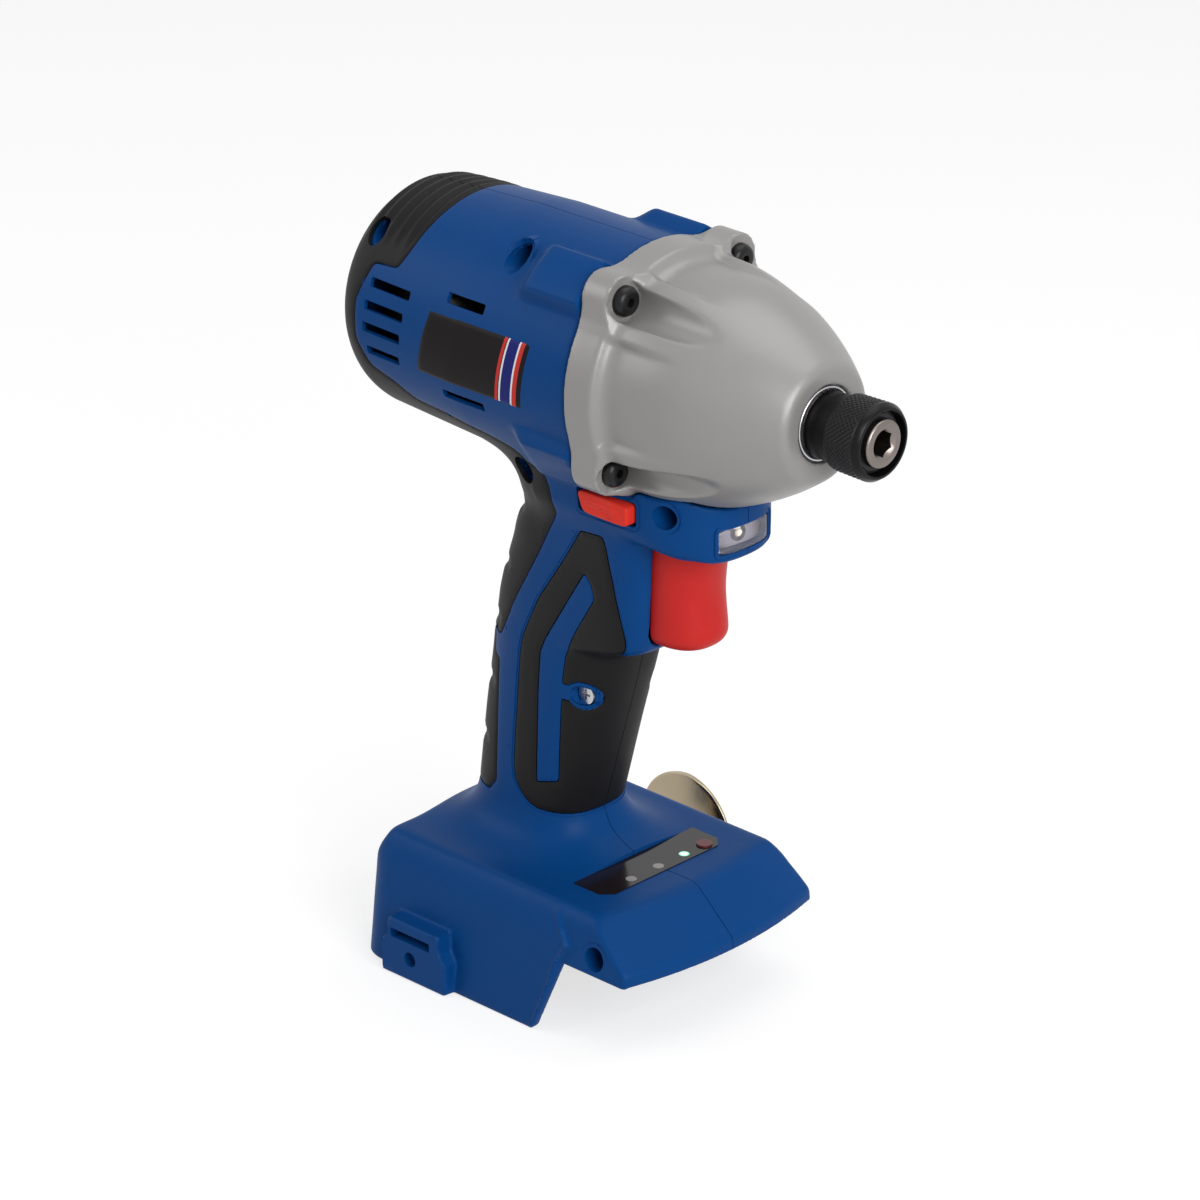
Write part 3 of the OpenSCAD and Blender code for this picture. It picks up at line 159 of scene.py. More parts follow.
def plate_field(x, z, x0, x1, z0, z1, r):
    """Signed distance to a rectangle with corner radius r, plus inside."""
    dx = np.abs(x - (x0 + x1) / 2) - (x1 - x0) / 2 + r
    dz = np.abs(z - (z0 + z1) / 2) - (z1 - z0) / 2 + r
    out = np.hypot(np.maximum(dx, 0), np.maximum(dz, 0)) + np.minimum(np.maximum(dx, dz), 0) - r
    return -out


def path_distance(x, z, points):
    """Distance to an open chain of straight pieces."""
    best = np.full(x.shape, 1e9)
    for (ax, az), (bx, bz) in zip(points[:-1], points[1:]):
        ex, ez = bx - ax, bz - az
        t = np.clip(((x - ax) * ex + (z - az) * ez) / (ex * ex + ez * ez), 0, 1)
        best = np.minimum(best, np.hypot(x - ax - ex * t, z - az - ez * t))
    return best


# Main forms of the body
# Handle by level: height, rear line, front line, half width, squareness
HANDLE_ROWS = np.array([
    [33, -62, -11, 19.6, 2.6], [38.5, -60.3, -15.5, 17.9, 2.6], [42, -59.2, -17.6, 17.0, 2.6],
    [48, -58.4, -18.7, 16.5, 2.6], [72.8, -55.8, -11.6, 16.7, 2.5], [90, -53.2, -6.6, 16.9, 2.5],
    [99.8, -51.8, -4.1, 17.0, 2.6], [102.4, -51.1, 2.0, 17.1, 2.7], [104.3, -50.6, 6.6, 17.2, 2.8],
    [106.8, -50, 8.5, 17.3, 3], [113.7, -48.1, 9.4, 17.5, 3], [126.6, -43.4, 9.8, 17.7, 3],
    [137, -40.8, 10.2, 18.9, 3], [145, -41.2, 13, 21.8, 3.2], [152, -44, 13, 22.3, 3.2],
    [158, -46.5, 12, 21.5, 3.2]])
ROW_Z = np.arange(30.0, 162.0, 0.25)


def smoothed_row(k, width):
    """One column of the handle table read every quarter millimetre and averaged over a short length."""
    v = np.interp(ROW_Z, HANDLE_ROWS[:, 0], HANDLE_ROWS[:, k])
    for _ in range(2):
        v = np.convolve(np.pad(v, width, mode="edge"), np.ones(width) / width, mode="same")[width:-width]
    return v


ROW_REAR, ROW_FRONT, ROW_HALF, ROW_SQUARE = (
    smoothed_row(k, w) for k, w in ((1, 17), (2, 9), (3, 17), (4, 17)))


def barrel_radius(x):
    """Radius of the barrel, a little less towards the tail."""
    return np.interp(x, [TAIL_AT, BARREL_AT], [TAIL_R, BARREL_R])


def ear_turn(y, z, ear):
    """Angle round the spindle from an ear, in degrees."""
    middle = math.degrees(math.atan2(ear[0], ear[1] - AXIS))
    return np.abs(np.degrees(np.arctan2(np.abs(y), z - AXIS)) - middle)


def barrel_field(x, y, z):
    """Motor barrel: distance from a slightly tapered cylinder whose tail closes as a quarter ellipse."""
    r = np.hypot(y, z - AXIS)
    u = np.maximum(TAIL_AT - x, 0) / TAIL_LENGTH
    v = np.maximum(r - (barrel_radius(x) - TAIL_ROUND), 0) / TAIL_ROUND
    d = (np.hypot(u, v) - 1) * TAIL_SCALE
    for ear, lift, start in zip(EARS, EAR_LIFTS, EAR_STARTS):
        d = d - lift * ease(x, start, start + EAR_RAMP) * ease(ear_turn(y, z, ear), 15.5, 9.5)
    return blend_max(d, x + 0.05, 0.7)


def handle_field(x, y, z):
    """Handle: each level is a superellipse between a rear and a front line."""
    rear, front = np.interp(z, ROW_Z, ROW_REAR), np.interp(z, ROW_Z, ROW_FRONT)
    half, n = np.interp(z, ROW_Z, ROW_HALF), np.interp(z, ROW_Z, ROW_SQUARE)
    a = (front - rear) / 2
    ahead = x - (front + rear) / 2
    n = n + 2.2 * ease(z, 100, 106) * (1 - ease(z, 137, 143)) * ease(ahead, 0, 12)
    n = n - 0.8 * ease(z, 128, 140) * ease(-ahead, 0, 12)
    rho = ((np.abs(ahead) / a) ** n + (np.abs(y) / half) ** n) ** (1 / n)
    d = (rho - 1) * np.minimum(a, half)
    return np.maximum(np.maximum(d, HANDLE_LOW - z), z - HANDLE_HIGH)


def chin_field(x, y, z):
    """Chin under the case: an upright oval block, drawn in towards the handle, its lower edge rounder
    on the sides."""
    u = np.maximum(x - CHIN_FROM, 0) / CHIN_REACH
    half = CHIN_HALF - CHIN_DRAW * ease(12 - x, 0, 20)
    d = ((u ** CHIN_POWER + (np.abs(y) / half) ** CHIN_POWER) ** (1 / CHIN_POWER) - 1) * CHIN_HALF
    floor_z = CHIN_FLOOR - CHIN_SAG * ease(x, 11, 27)
    d = blend_max(d, floor_z - z, 2.4 + 3.2 * ease(31 - x, 0, 6))
    return np.maximum(np.maximum(d, z - CHIN_TOP), CHIN_REAR - x)


def foot_field(x, y, z):
    """Foot: leaning sides, sloping front on a wide arc, chamfered rear, with the battery bay cut
    from below."""
    ay = np.abs(y)
    skirt = np.interp(z, [0, 23.5, 27, 36], [SKIRT_FRONT, 0.6, 3.1, -3.2])
    step = 0.9 * ease(x - skirt, -0.25, 0.45) * (1 - ease(z, 30, 34))
    side = (ay - (FOOT_HALF - FOOT_LEAN * z / LEAN_HEIGHT) + step) * 0.993
    d = blend_max(side, FOOT_REAR - x, 10)
    d = blend_max(d, (ay + z - SHOULDER) * DIAGONAL, 5.0)
    d = blend_max(d, (-REAR_RISE * (x - FOOT_REAR) + REAR_RUN * (z - REAR_FROM)) / REAR_LONG, 2.0)
    arc = np.hypot(x - ARC_AT, y) - ARC_R
    d = blend_max(d, (arc * FRONT_RISE + (z - FOOT_LIP) * FRONT_RUN) / FRONT_LONG, 1.2)
    d = blend_max(d, arc, 1.2)
    d = blend_max(d, z - FOOT_TOP, 1.6)
    wide = np.interp(z, [0, 9, 12, 17], [0, 0, 2.2, 2.8])
    boss = np.maximum(BOSS_REAR + wide - x, x - BOSS_FRONT + wide)
    boss = np.maximum(boss, np.maximum(ay - BOSS_HALF, z - BOSS_TOP))
    d = blend_min(d, blend_max(boss, BOSS_IN - ay, 1.0), 0.9)
    ridge = path_distance(x, z, [(-2.4, 34.5), (3.1, 27.0), (0.6, 23.5), (SKIRT_FRONT, 0)])
    d = d - 0.6 * bell(ridge, 0.7) * ease(ay, 30, 33)
    d = blend_max(d, -z, 0.8)
    under = np.maximum(((SKIRT_FRONT + SKIRT_LEAN * z / BAY_TOP) - x) * 0.935, z - BAY_TOP)
    d = blend_max(d, -under, 0.9)
    inner = BAY_HALF - FOOT_LEAN * z / LEAN_HEIGHT
    bay = np.maximum(blend_max(ay - inner, BAY_REAR - x, 9.0), z - BAY_TOP)
    d = blend_max(d, -bay, 0.9)
    rail = np.maximum(np.abs(z - RAIL_Z) - RAIL_HALF, x - RAIL_FRONT)
    rail = np.maximum(rail, np.maximum(RAIL_IN - ay, ay - RAIL_OUT))
    return blend_min(d, np.maximum(rail, RAIL_REAR - x), 0.7)


def case_outside(x, y, z, grooves=True):
    """Cast nose: flange band, hollow step, domed body, screw ears carried on as low strips with a groove
    in each."""
    r = np.hypot(y, z - AXIS)
    along = np.clip(x - DOME_FROM, 0, 60) / DOME_LENGTH
    dome = DOME_R - DOME_DROP * along ** DOME_POWER
    slope = -DOME_DROP * DOME_POWER / DOME_LENGTH * along ** (DOME_POWER - 1)
    dome = dome - STEP_DEPTH * (1 - ease(x, 12, 36))
    for ear in EARS:
        dome = dome + STRIP_HEIGHT * (1 - ease(x, 14, 36)) * ease(ear_turn(y, z, ear), 20.5, 16)
    d = (r - dome) / np.sqrt(1 + slope ** 2)
    band = r - BAND_R + 0.5 * ease(x, 0, BAND_END)
    d = blend_min(d, blend_max(band, x - BAND_END, 1.4), 4.6)
    for ey, ez in EARS:
        far_out = np.hypot(np.abs(y) - ey, z - ez)
        toward = np.hypot(np.abs(y) - ey * ROOT_AT, z - AXIS - (ez - AXIS) * ROOT_AT)
        ear = blend_min(far_out - EAR_R, toward - ROOT_R, 4.0)
        d = blend_min(d, np.maximum(ear, x - EAR_FACE), 3.2)
    for ey, ez in EARS if grooves else []:
        far_out = np.hypot(np.abs(y) - ey * GROOVE_AT, z - AXIS - (ez - AXIS) * GROOVE_AT)
        d = blend_max(d, -np.maximum(far_out - GROOVE_R, EAR_FACE - x), 0.9)
    return blend_max(blend_max(d, x - NOSE_END, 1.6), -x, 0.6)


def case_field(x, y, z):
    """Cast nose with its bore, bush seat and ring recess taken out."""
    r = np.hypot(y, z - AXIS)
    bore = np.maximum(r - HAMMER_ROOM_R, x - HAMMER_ROOM_END)
    bore = np.minimum(bore, np.maximum(r - BUSH_R, x - BUSH_END))
    bore = np.minimum(bore, np.maximum(r - RING_SEAT_R, RING_SEAT_AT - x))
    return blend_max(case_outside(x, y, z), -bore, 0.5)


def body_field(x, y, z):
    """Whole plastic body: barrel, handle, chin and foot melted together, with the rooms that break
    its skin."""
    d = blend_min(barrel_field(x, y, z), handle_field(x, y, z), 7.0)
    d = blend_min(d, chin_field(x, y, z), 2.2 + 4.8 * ease(z, 139, 146))
    d = blend_min(d, foot_field(x, y, z), 13.0)
    across = -plate_field(y, z, -ROOM_HALF, ROOM_HALF, ROOM_FLOOR, 170, ROOM_ROUND)
    along = np.abs(x - (ROOM_BACK + ROOM_FRONT) / 2) - (ROOM_FRONT - ROOM_BACK) / 2
    d = blend_max(d, -np.maximum(across, np.maximum(along, z - ROOM_TOP)), 0.9)
    return blend_max(d, CASE_GAP - case_outside(x, y, z, False), 1.3)


# Meshes from fields
class Skin:
    """Points and triangles of a surface."""

    def __init__(self, points, tris):
        self.points, self.tris = points, tris


def sides_of(tris):
    """The three sides of each triangle, as pairs of points in turning order."""
    return np.concatenate([tris[:, [0, 1]], tris[:, [1, 2]], tris[:, [2, 0]]])


def normals_of(points, tris):
    """Area-weighted point normals."""
    a, b, c = (points[tris[:, k]] for k in range(3))
    face = np.cross(b - a, c - a)
    n = np.zeros_like(points)
    for k in range(3):
        np.add.at(n, tris[:, k], face)
    return n / np.maximum(np.linalg.norm(n, axis=1, keepdims=True), 1e-12)


def at(field, p):
    """Field at a list of points."""
    return field(p[:, 0], p[:, 1], p[:, 2])


def slope_at(field, p, h=0.04):
    """Gradient of a field by central differences."""
    g = np.empty_like(p)
    for k in range(3):
        e = np.zeros(3)
        e[k] = h
        g[:, k] = (at(field, p + e) - at(field, p - e)) / (2 * h)
    return g


def facing(field, p):
    """Unit direction in which a field grows."""
    g = slope_at(field, p)
    return g / np.maximum(np.linalg.norm(g, axis=1, keepdims=True), 1e-9)


def settle(field, p, rounds=4, longest=0.8):
    """Moves points along the gradient until the field is zero there: the field times its gradient,
    divided by the gradient's square, in steps that aren't too long."""
    for _ in range(rounds):
        g = slope_at(field, p)
        step = at(field, p)[:, None] * g / np.maximum((g * g).sum(1, keepdims=True), 0.05)
        p = p - np.clip(step, -longest, longest)
    return p


def skin_of(field, low, high, step):
    """Surface where a field is zero: one point in each grid cell that it crosses, joined across the
    crossed edges."""
    axes = [np.arange(l, h + step, step) for l, h in zip(low, high)]
    grid = np.meshgrid(*axes, indexing="ij")
    v = field(*grid)
    inside = v < 0
    cells = tuple(n - 1 for n in v.shape)
    total, count = np.zeros(cells + (3,)), np.zeros(cells)
    corners = [(i, j, k) for i in (0, 1) for j in (0, 1) for k in (0, 1)]
    for a in corners:
        for k in range(3):
            if a[k]:
                continue
            b = tuple(1 if m == k else a[m] for m in range(3))
            va = v[a[0]:cells[0] + a[0], a[1]:cells[1] + a[1], a[2]:cells[2] + a[2]]
            vb = v[b[0]:cells[0] + b[0], b[1]:cells[1] + b[1], b[2]:cells[2] + b[2]]
            cross = (va < 0) != (vb < 0)
            t = np.where(cross, va / np.where(cross, va - vb, 1), 0)
            for m in range(3):
                total[..., m] += np.where(cross, a[m] + (t if m == k else 0), 0)
            count += cross
    active = count > 0
    index = np.full(cells, -1)
    index[active] = np.arange(active.sum())
    place = np.argwhere(active) + total[active] / count[active][:, None]
    points = place * step + np.array([ax[0] for ax in axes])
    quads = []
    for k in range(3):
        first = [slice(1, cells[m]) if m != k else slice(0, cells[k]) for m in range(3)]
        second = [slice(1, cells[m]) if m != k else slice(1, cells[k] + 1) for m in range(3)]
        a, b = inside[tuple(first)], inside[tuple(second)]
        i, j, l = np.nonzero(a != b)
        at_cell = np.stack([i, j, l], 1) + np.array([0 if m == k else 1 for m in range(3)])
        m1, m2 = (k + 1) % 3, (k + 2) % 3
        ring = []
        for s1, s2 in ((1, 1), (0, 1), (0, 0), (1, 0)):
            c = at_cell.copy()
            c[:, m1] -= s1
            c[:, m2] -= s2
            ring.append(index[c[:, 0], c[:, 1], c[:, 2]])
        q = np.stack(ring, 1)
        flip = ~a[i, j, l]
        q[flip] = q[flip][:, ::-1]
        quads.append(q)
    q = np.concatenate(quads)
    q = q[(q >= 0).all(1)]
    return Skin(points, np.concatenate([q[:, [0, 1, 2]], q[:, [0, 2, 3]]]))


def neighbour_mean(skin):
    """Mean place of the points next to each point."""
    e = sides_of(skin.tris)
    total, count = np.zeros_like(skin.points), np.zeros(len(skin.points))
    np.add.at(total, e[:, 0], skin.points[e[:, 1]])
    np.add.at(count, e[:, 0], 1)
    return total / np.maximum(count, 1)[:, None]


def relax(skin, field, rounds=3):
    """Evens out the points within the surface."""
    for _ in range(rounds):
        move = neighbour_mean(skin) - skin.points
        n = normals_of(skin.points, skin.tris)
        skin.points = skin.points + 0.5 * (move - n * (move * n).sum(1, keepdims=True))
        skin.points = settle(field, skin.points, 1)
    skin.points = settle(field, skin.points, 3)
    return skin


def edges_of(tris):
    """Unique edges and, for each triangle, the number of its three edges."""
    e = sides_of(tris)
    unique, back = np.unique(np.sort(e, axis=1), axis=0, return_inverse=True)
    return unique, back.reshape(3, -1).T


def divide(skin, marked, edges, which):
    """Splits the marked edges at their middle and rebuilds the triangles around them."""
    mid = np.full(len(edges), -1)
    mid[marked] = len(skin.points) + np.arange(marked.sum())
    new = skin.points[edges[marked]].mean(1)
    m = mid[which]
    t = skin.tris
    n = (m >= 0).sum(1)
    out = [t[n == 0]]
    for k in range(3):
        r = [(k + j) % 3 for j in range(3)]
        one = (n == 1) & (m[:, k] >= 0)
        a, b, c, p = t[one][:, r[0]], t[one][:, r[1]], t[one][:, r[2]], m[one][:, k]
        out += [np.stack([a, p, c], 1), np.stack([p, b, c], 1)]
        two = (n == 2) & (m[:, k] < 0)
        a, b, c = (t[two][:, r[j]] for j in range(3))
        p, q = m[two][:, r[1]], m[two][:, r[2]]
        out += [np.stack([a, b, p], 1), np.stack([a, p, q], 1), np.stack([q, p, c], 1)]
    full = n == 3
    a, b, c = (t[full][:, j] for j in range(3))
    p, q, s = (m[full][:, j] for j in range(3))
    out += [np.stack([a, p, s], 1), np.stack([p, b, q], 1), np.stack([s, q, c], 1), np.stack([p, q, s], 1)]
    return Skin(np.concatenate([skin.points, new]), np.concatenate(out))


def refine(skin, field, near, size, bend=14.0, short=0.6):
    """Splits edges that lie by a feature line, or across a bend, until they are short enough."""
    edges, which = edges_of(skin.tris)
    a, b = skin.points[edges[:, 0]], skin.points[edges[:, 1]]
    length = np.linalg.norm(b - a, axis=1)
    g = facing(field, skin.points)
    turn = np.degrees(np.arccos(np.clip((g[edges[:, 0]] * g[edges[:, 1]]).sum(1), -1, 1)))
    mark = (near((a + b) / 2) < 0.5 * length + 0.1) & (length > size)
    mark |= (turn > bend) & (length > short)
    skin = divide(skin, mark, edges, which)
    skin.points = settle(field, skin.points, 2)
    return skin


def unfold(skin, field, rounds=3):
    """Moves points by a fold, where the skin and the field face different ways, to the middle of
    their neighbours."""
    e = sides_of(skin.tris)
    for _ in range(rounds):
        fold = (normals_of(skin.points, skin.tris) * facing(field, skin.points)).sum(1) < 0.5
        for _ in range(2):
            fold[e[:, 0]] |= fold[e[:, 1]]
        skin.points = np.where(fold[:, None], neighbour_mean(skin), skin.points)
        skin.points = settle(field, skin.points, 2)
    return skin


def split(skin, level):
    """Cuts the triangles along level = 0 and returns the skin, and which triangles lie on the plus side."""
    level = np.where(np.abs(level) < 1e-5, 1e-5, level)
    edges, which = edges_of(skin.tris)
    a, b = level[edges[:, 0]], level[edges[:, 1]]
    cut = (a > 0) != (b > 0)
    t = (a / np.where(cut, a - b, 1))[cut][:, None]
    fresh = skin.points[edges[cut, 0]] * (1 - t) + skin.points[edges[cut, 1]] * t
    mid = np.full(len(edges), -1)
    mid[cut] = len(skin.points) + np.arange(cut.sum())
    m, tr = mid[which], skin.tris
    up = level[tr] > 0
    keep = (m < 0).all(1)
    out, side = [tr[keep]], [up[keep][:, 0]]
    for k in range(3):
        r = [(k + j) % 3 for j in range(3)]
        lone = (~keep) & (m[:, r[0]] >= 0) & (m[:, r[2]] >= 0)
        a, b, c = (tr[lone][:, r[j]] for j in range(3))
        p, q = m[lone][:, r[0]], m[lone][:, r[2]]
        s = up[lone][:, r[0]]
        out += [np.stack([a, p, q], 1), np.stack([p, b, c], 1), np.stack([p, c, q], 1)]
        side += [s, ~s, ~s]
    points = np.concatenate([skin.points, fresh])
    return Skin(points, np.concatenate(out)), np.concatenate(side)


def tidy(skin):
    """Drops points that no triangle uses."""
    used = np.unique(skin.tris)
    back = np.full(len(skin.points), -1)
    back[used] = np.arange(len(used))
    return Skin(skin.points[used], back[skin.tris])


def keep_side(skin, field2):
    """Keeps the part of a skin where a function of the points is above zero."""
    cut, plus = split(skin, field2(skin.points))
    return tidy(Skin(cut.points, cut.tris[plus]))


def sink(skin, field2, move):
    """Moves the part of a skin where a function is above zero, and closes the step with a wall."""
    cut, plus = split(skin, field2(skin.points))
    n = normals_of(cut.points, cut.tris)
    floor_tris, rest = cut.tris[plus], cut.tris[~plus]
    used = np.unique(floor_tris)
    back = np.full(len(cut.points), -1)
    back[used] = len(cut.points) + np.arange(len(used))
    moved = move(cut.points[used], n[used])
    e = sides_of(floor_tris)
    key = np.sort(e, axis=1)
    other = np.sort(sides_of(rest), axis=1)
    big = len(cut.points) + 1
    rim = np.isin(key[:, 0] * big + key[:, 1], other[:, 0] * big + other[:, 1])
    a, b = e[rim, 0], e[rim, 1]
    walls = np.concatenate([np.stack([a, back[b], back[a]], 1), np.stack([a, b, back[b]], 1)])
    tris = np.concatenate([rest, back[floor_tris], walls])
    return tidy(Skin(np.concatenate([cut.points, moved]), tris))


def thicken(skin, depth):
    """Adds an inner face at a depth below the skin and closes the rim, so the piece is a solid wall."""
    n = normals_of(skin.points, skin.tris)
    count = len(skin.points)
    inner = skin.points - n * depth
    e = sides_of(skin.tris)
    big = count + 1
    code, back = e[:, 0] * big + e[:, 1], e[:, 1] * big + e[:, 0]
    rim = ~np.isin(code, back)
    a, b = e[rim, 0], e[rim, 1]
    walls = np.concatenate([np.stack([b, a, a + count], 1), np.stack([b, a + count, b + count], 1)])
    tris = np.concatenate([skin.tris, skin.tris[:, ::-1] + count, walls])
    return Skin(np.concatenate([skin.points, inner]), tris)


def mirrored(skin):
    """The same skin on the other side of the middle plane."""
    return Skin(skin.points * np.array([1, -1, 1.0]), skin.tris[:, ::-1])


# Putting a mesh into the scene
def place(name, points, faces, material, body, slot, nodes, sharp=38.0, uv=None):
    """Makes an object from points in millimetres and puts it on its body."""
    pts = np.asarray(points, float) * MM
    pts[:, 0] += FLANGE * MM
    mesh = bpy.data.meshes.new(name)
    faces = np.asarray(faces)
    n, k = faces.shape
    mesh.vertices.add(len(pts))
    mesh.vertices.foreach_set("co", pts.astype(np.float32).ravel())
    mesh.loops.add(n * k)
    mesh.loops.foreach_set("vertex_index", faces.astype(np.int32).ravel())
    mesh.polygons.add(n)
    mesh.polygons.foreach_set("loop_start", np.arange(0, n * k, k, dtype=np.int32))
    mesh.update(calc_edges=True)
    mesh.validate()
    if uv is not None:
        layer = mesh.uv_layers.new(name="UVMap")
        layer.data.foreach_set("uv", np.asarray(uv, np.float32)[faces.ravel()].ravel())
    mesh.polygons.foreach_set("use_smooth", np.ones(len(mesh.polygons), bool))
    mesh.set_sharp_from_angle(angle=math.radians(sharp))
    obj = bpy.data.objects.new(name, mesh)
    bpy.context.scene.collection.objects.link(obj)
    mesh.materials.append(material)
    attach(obj, body)
    if nodes:
        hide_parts(*nodes)
    return obj


def round_angles(count):
    """Even angles round a full turn."""
    return np.linspace(0, 2 * math.pi, count, endpoint=False)


def squared(w, power):
    """Sine or cosine bent towards a square: its sign times its size to a power."""
    return np.sign(w) * np.abs(w) ** power


def grid_faces(rows, cols, wrap):
    """Quads of a grid of points, closed around its columns if wrap is set."""
    i, j = np.meshgrid(np.arange(rows - 1), np.arange(cols if wrap else cols - 1), indexing="ij")
    a = (i * cols + j).ravel()
    b = (i * cols + (j + 1) % cols).ravel()
    return np.stack([a, b, b + cols, a + cols], 1)


def joined(parts):
    """Several point and face lists as one."""
    points, faces, start = [], [], 0
    for p, f in parts:
        points.append(p)
        faces.append(f + start)
        start += len(p)
    return np.concatenate(points), np.concatenate(faces)


def revolved(profile, turns, lift=None):
    """Profile of radius and station carried round the spindle axis; lift adds a radius by angle
    and station."""
    prof = np.asarray(profile, float)
    a = round_angles(turns)
    r = np.repeat(prof[:, :1], turns, 1)
    s = np.repeat(prof[:, 1:], turns, 1)
    if lift is not None:
        r = r + lift(np.broadcast_to(a, r.shape), s)
    pts = np.stack([s, -r * np.cos(a), r * np.sin(a)], -1).reshape(-1, 3)
    return pts, grid_faces(len(prof), turns, True)


# Materials
def maths(nodes, links, operation, first, second):
    """Maths node fed by a socket and by a second socket or a number; gives its output."""
    node = nodes.new("ShaderNodeMath")
    node.operation = operation
    links.new(first, node.inputs[0])
    if isinstance(second, float):
        node.inputs[1].default_value = second
    else:
        links.new(second, node.inputs[1])
    return node.outputs[0]


def node_group_grain():
    """Shared moulded grain: fine and coarse noise give a height and a slight change of tone."""
    group = bpy.data.node_groups.new("moulded_grain", "ShaderNodeTree")
    face = group.interface
    for name, kind, io, value in (("Fine scale", "NodeSocketFloat", "INPUT", 2500.0),
                                  ("Coarse scale", "NodeSocketFloat", "INPUT", 90.0),
                                  ("Roughness", "NodeSocketFloat", "INPUT", 0.5),
                                  ("Mottle", "NodeSocketFloat", "INPUT", 0.06),
                                  ("Colour", "NodeSocketColor", "INPUT", (0.5, 0.5, 0.5, 1)),
                                  ("Height", "NodeSocketFloat", "OUTPUT", None),
                                  ("Roughness", "NodeSocketFloat", "OUTPUT", None),
                                  ("Colour", "NodeSocketColor", "OUTPUT", None)):
        sock = face.new_socket(name=name, in_out=io, socket_type=kind)
        if value is not None:
            sock.default_value = value
    nodes, links = group.nodes, group.links
    gin, gout = nodes.new("NodeGroupInput"), nodes.new("NodeGroupOutput")
    coord = nodes.new("ShaderNodeTexCoord")
    fine, coarse = nodes.new("ShaderNodeTexNoise"), nodes.new("ShaderNodeTexNoise")
    fine.inputs["Detail"].default_value = 3
    coarse.inputs["Detail"].default_value = 4
    links.new(coord.outputs["Object"], fine.inputs["Vector"])
    links.new(coord.outputs["Object"], coarse.inputs["Vector"])
    links.new(gin.outputs["Fine scale"], fine.inputs["Scale"])
    links.new(gin.outputs["Coarse scale"], coarse.inputs["Scale"])
    links.new(fine.outputs["Fac"], gout.inputs["Height"])
    change = maths(nodes, links, "SUBTRACT", coarse.outputs["Fac"], 0.5)
    change = maths(nodes, links, "MULTIPLY", change, gin.outputs["Mottle"])
    rough = maths(nodes, links, "ADD", change, gin.outputs["Roughness"])
    links.new(rough, gout.inputs["Roughness"])
    tint = nodes.new("ShaderNodeVectorMath")
    tint.operation = "SCALE"
    links.new(gin.outputs["Colour"], tint.inputs[0])
    links.new(maths(nodes, links, "ADD", change, 1.0), tint.inputs["Scale"])
    links.new(tint.outputs[0], gout.inputs["Colour"])
    return group


GRAIN = node_group_grain()
GRAIN_DEPTH = 0.00008


def srgb(r, g, b):
    """Screen colour from 0 to 255 as linear light."""
    v = np.array([r, g, b]) / 255.0
    lin = np.where(v <= 0.04045, v / 12.92, ((v + 0.055) / 1.055) ** 2.4)
    return (float(lin[0]), float(lin[1]), float(lin[2]), 1.0)


def finish_of(name, colour, rough, metal=0.0, fine=2500.0, coarse=90.0, mottle=0.1, bump=0.15, **plain):
    """Material with the shared grain; the plain values go straight onto the shader's sockets."""
    mat = bpy.data.materials.new(name)
    mat.use_nodes = True
    nodes, links = mat.node_tree.nodes, mat.node_tree.links
    shader = nodes["Principled BSDF"]
    group = nodes.new("ShaderNodeGroup")
    group.node_tree = GRAIN
    for key, value in (("Fine scale", fine), ("Coarse scale", coarse), ("Roughness", rough),
                       ("Mottle", mottle), ("Colour", colour)):
        group.inputs[key].default_value = value
    links.new(group.outputs["Colour"], shader.inputs["Base Color"])
    links.new(group.outputs["Roughness"], shader.inputs["Roughness"])
    dent = nodes.new("ShaderNodeBump")
    dent.inputs["Strength"].default_value = bump
    dent.inputs["Distance"].default_value = GRAIN_DEPTH
    links.new(group.outputs["Height"], dent.inputs["Height"])
    links.new(dent.outputs["Normal"], shader.inputs["Normal"])
    shader.inputs["Metallic"].default_value = metal
    for key, value in plain.items():
        shader.inputs[key.replace("_", " ")].default_value = value
    return mat


BLUE = finish_of("blue_plastic", srgb(5, 63, 123), 0.42, fine=2200, bump=0.25, Specular_IOR_Level=0.08)
RUBBER = finish_of("soft_grip", srgb(23, 22, 23), 0.52, fine=3000, bump=0.35, mottle=0.16,
                   Specular_IOR_Level=0.13)
CAST = finish_of("cast_case", srgb(141, 139, 137), 0.35, metal=0.15, fine=1600, coarse=60, bump=0.12,
                 Specular_IOR_Level=0.45)
STEEL = finish_of("bright_steel", srgb(190, 190, 194), 0.28, metal=1.0, bump=0.08)
DARK_STEEL = finish_of("dark_steel", srgb(24, 24, 26), 0.3, metal=0.3, bump=0.1, Specular_IOR_Level=0.3)
BLACK = finish_of("black_plastic", srgb(30, 30, 32), 0.5)
SLEEVE = finish_of("black_sleeve", srgb(9, 9, 11), 0.3, fine=1800, bump=0.1, Specular_IOR_Level=0.17)
ANVIL = finish_of("warm_steel", srgb(128, 120, 116), 0.3, metal=1.0, fine=1500, coarse=240, mottle=0.2)
RED = finish_of("red_plastic", srgb(191, 38, 35), 0.42, fine=2200, bump=0.2, Specular_IOR_Level=0.16)
ORANGE = finish_of("orange_plastic", srgb(214, 48, 35), 0.42, fine=2200, bump=0.2, Specular_IOR_Level=0.16)
DARK_RED = finish_of("dark_red_plastic", srgb(88, 30, 30), 0.4)
BRONZE = finish_of("bronze", srgb(190, 150, 90), 0.35, metal=1.0)
COPPER = finish_of("copper", srgb(200, 130, 80), 0.35, metal=1.0)
MAGNET = finish_of("magnet", srgb(60, 60, 64), 0.6)
CARBON = finish_of("carbon", srgb(45, 45, 46), 0.6)
NICKEL = finish_of("nickel_steel", srgb(172, 158, 134), 0.22, metal=1.0, fine=700, mottle=0.2, bump=0.12)
SMOKY = finish_of("smoky_panel", srgb(28, 22, 24), 0.12, bump=0.02, Specular_IOR_Level=0.35)
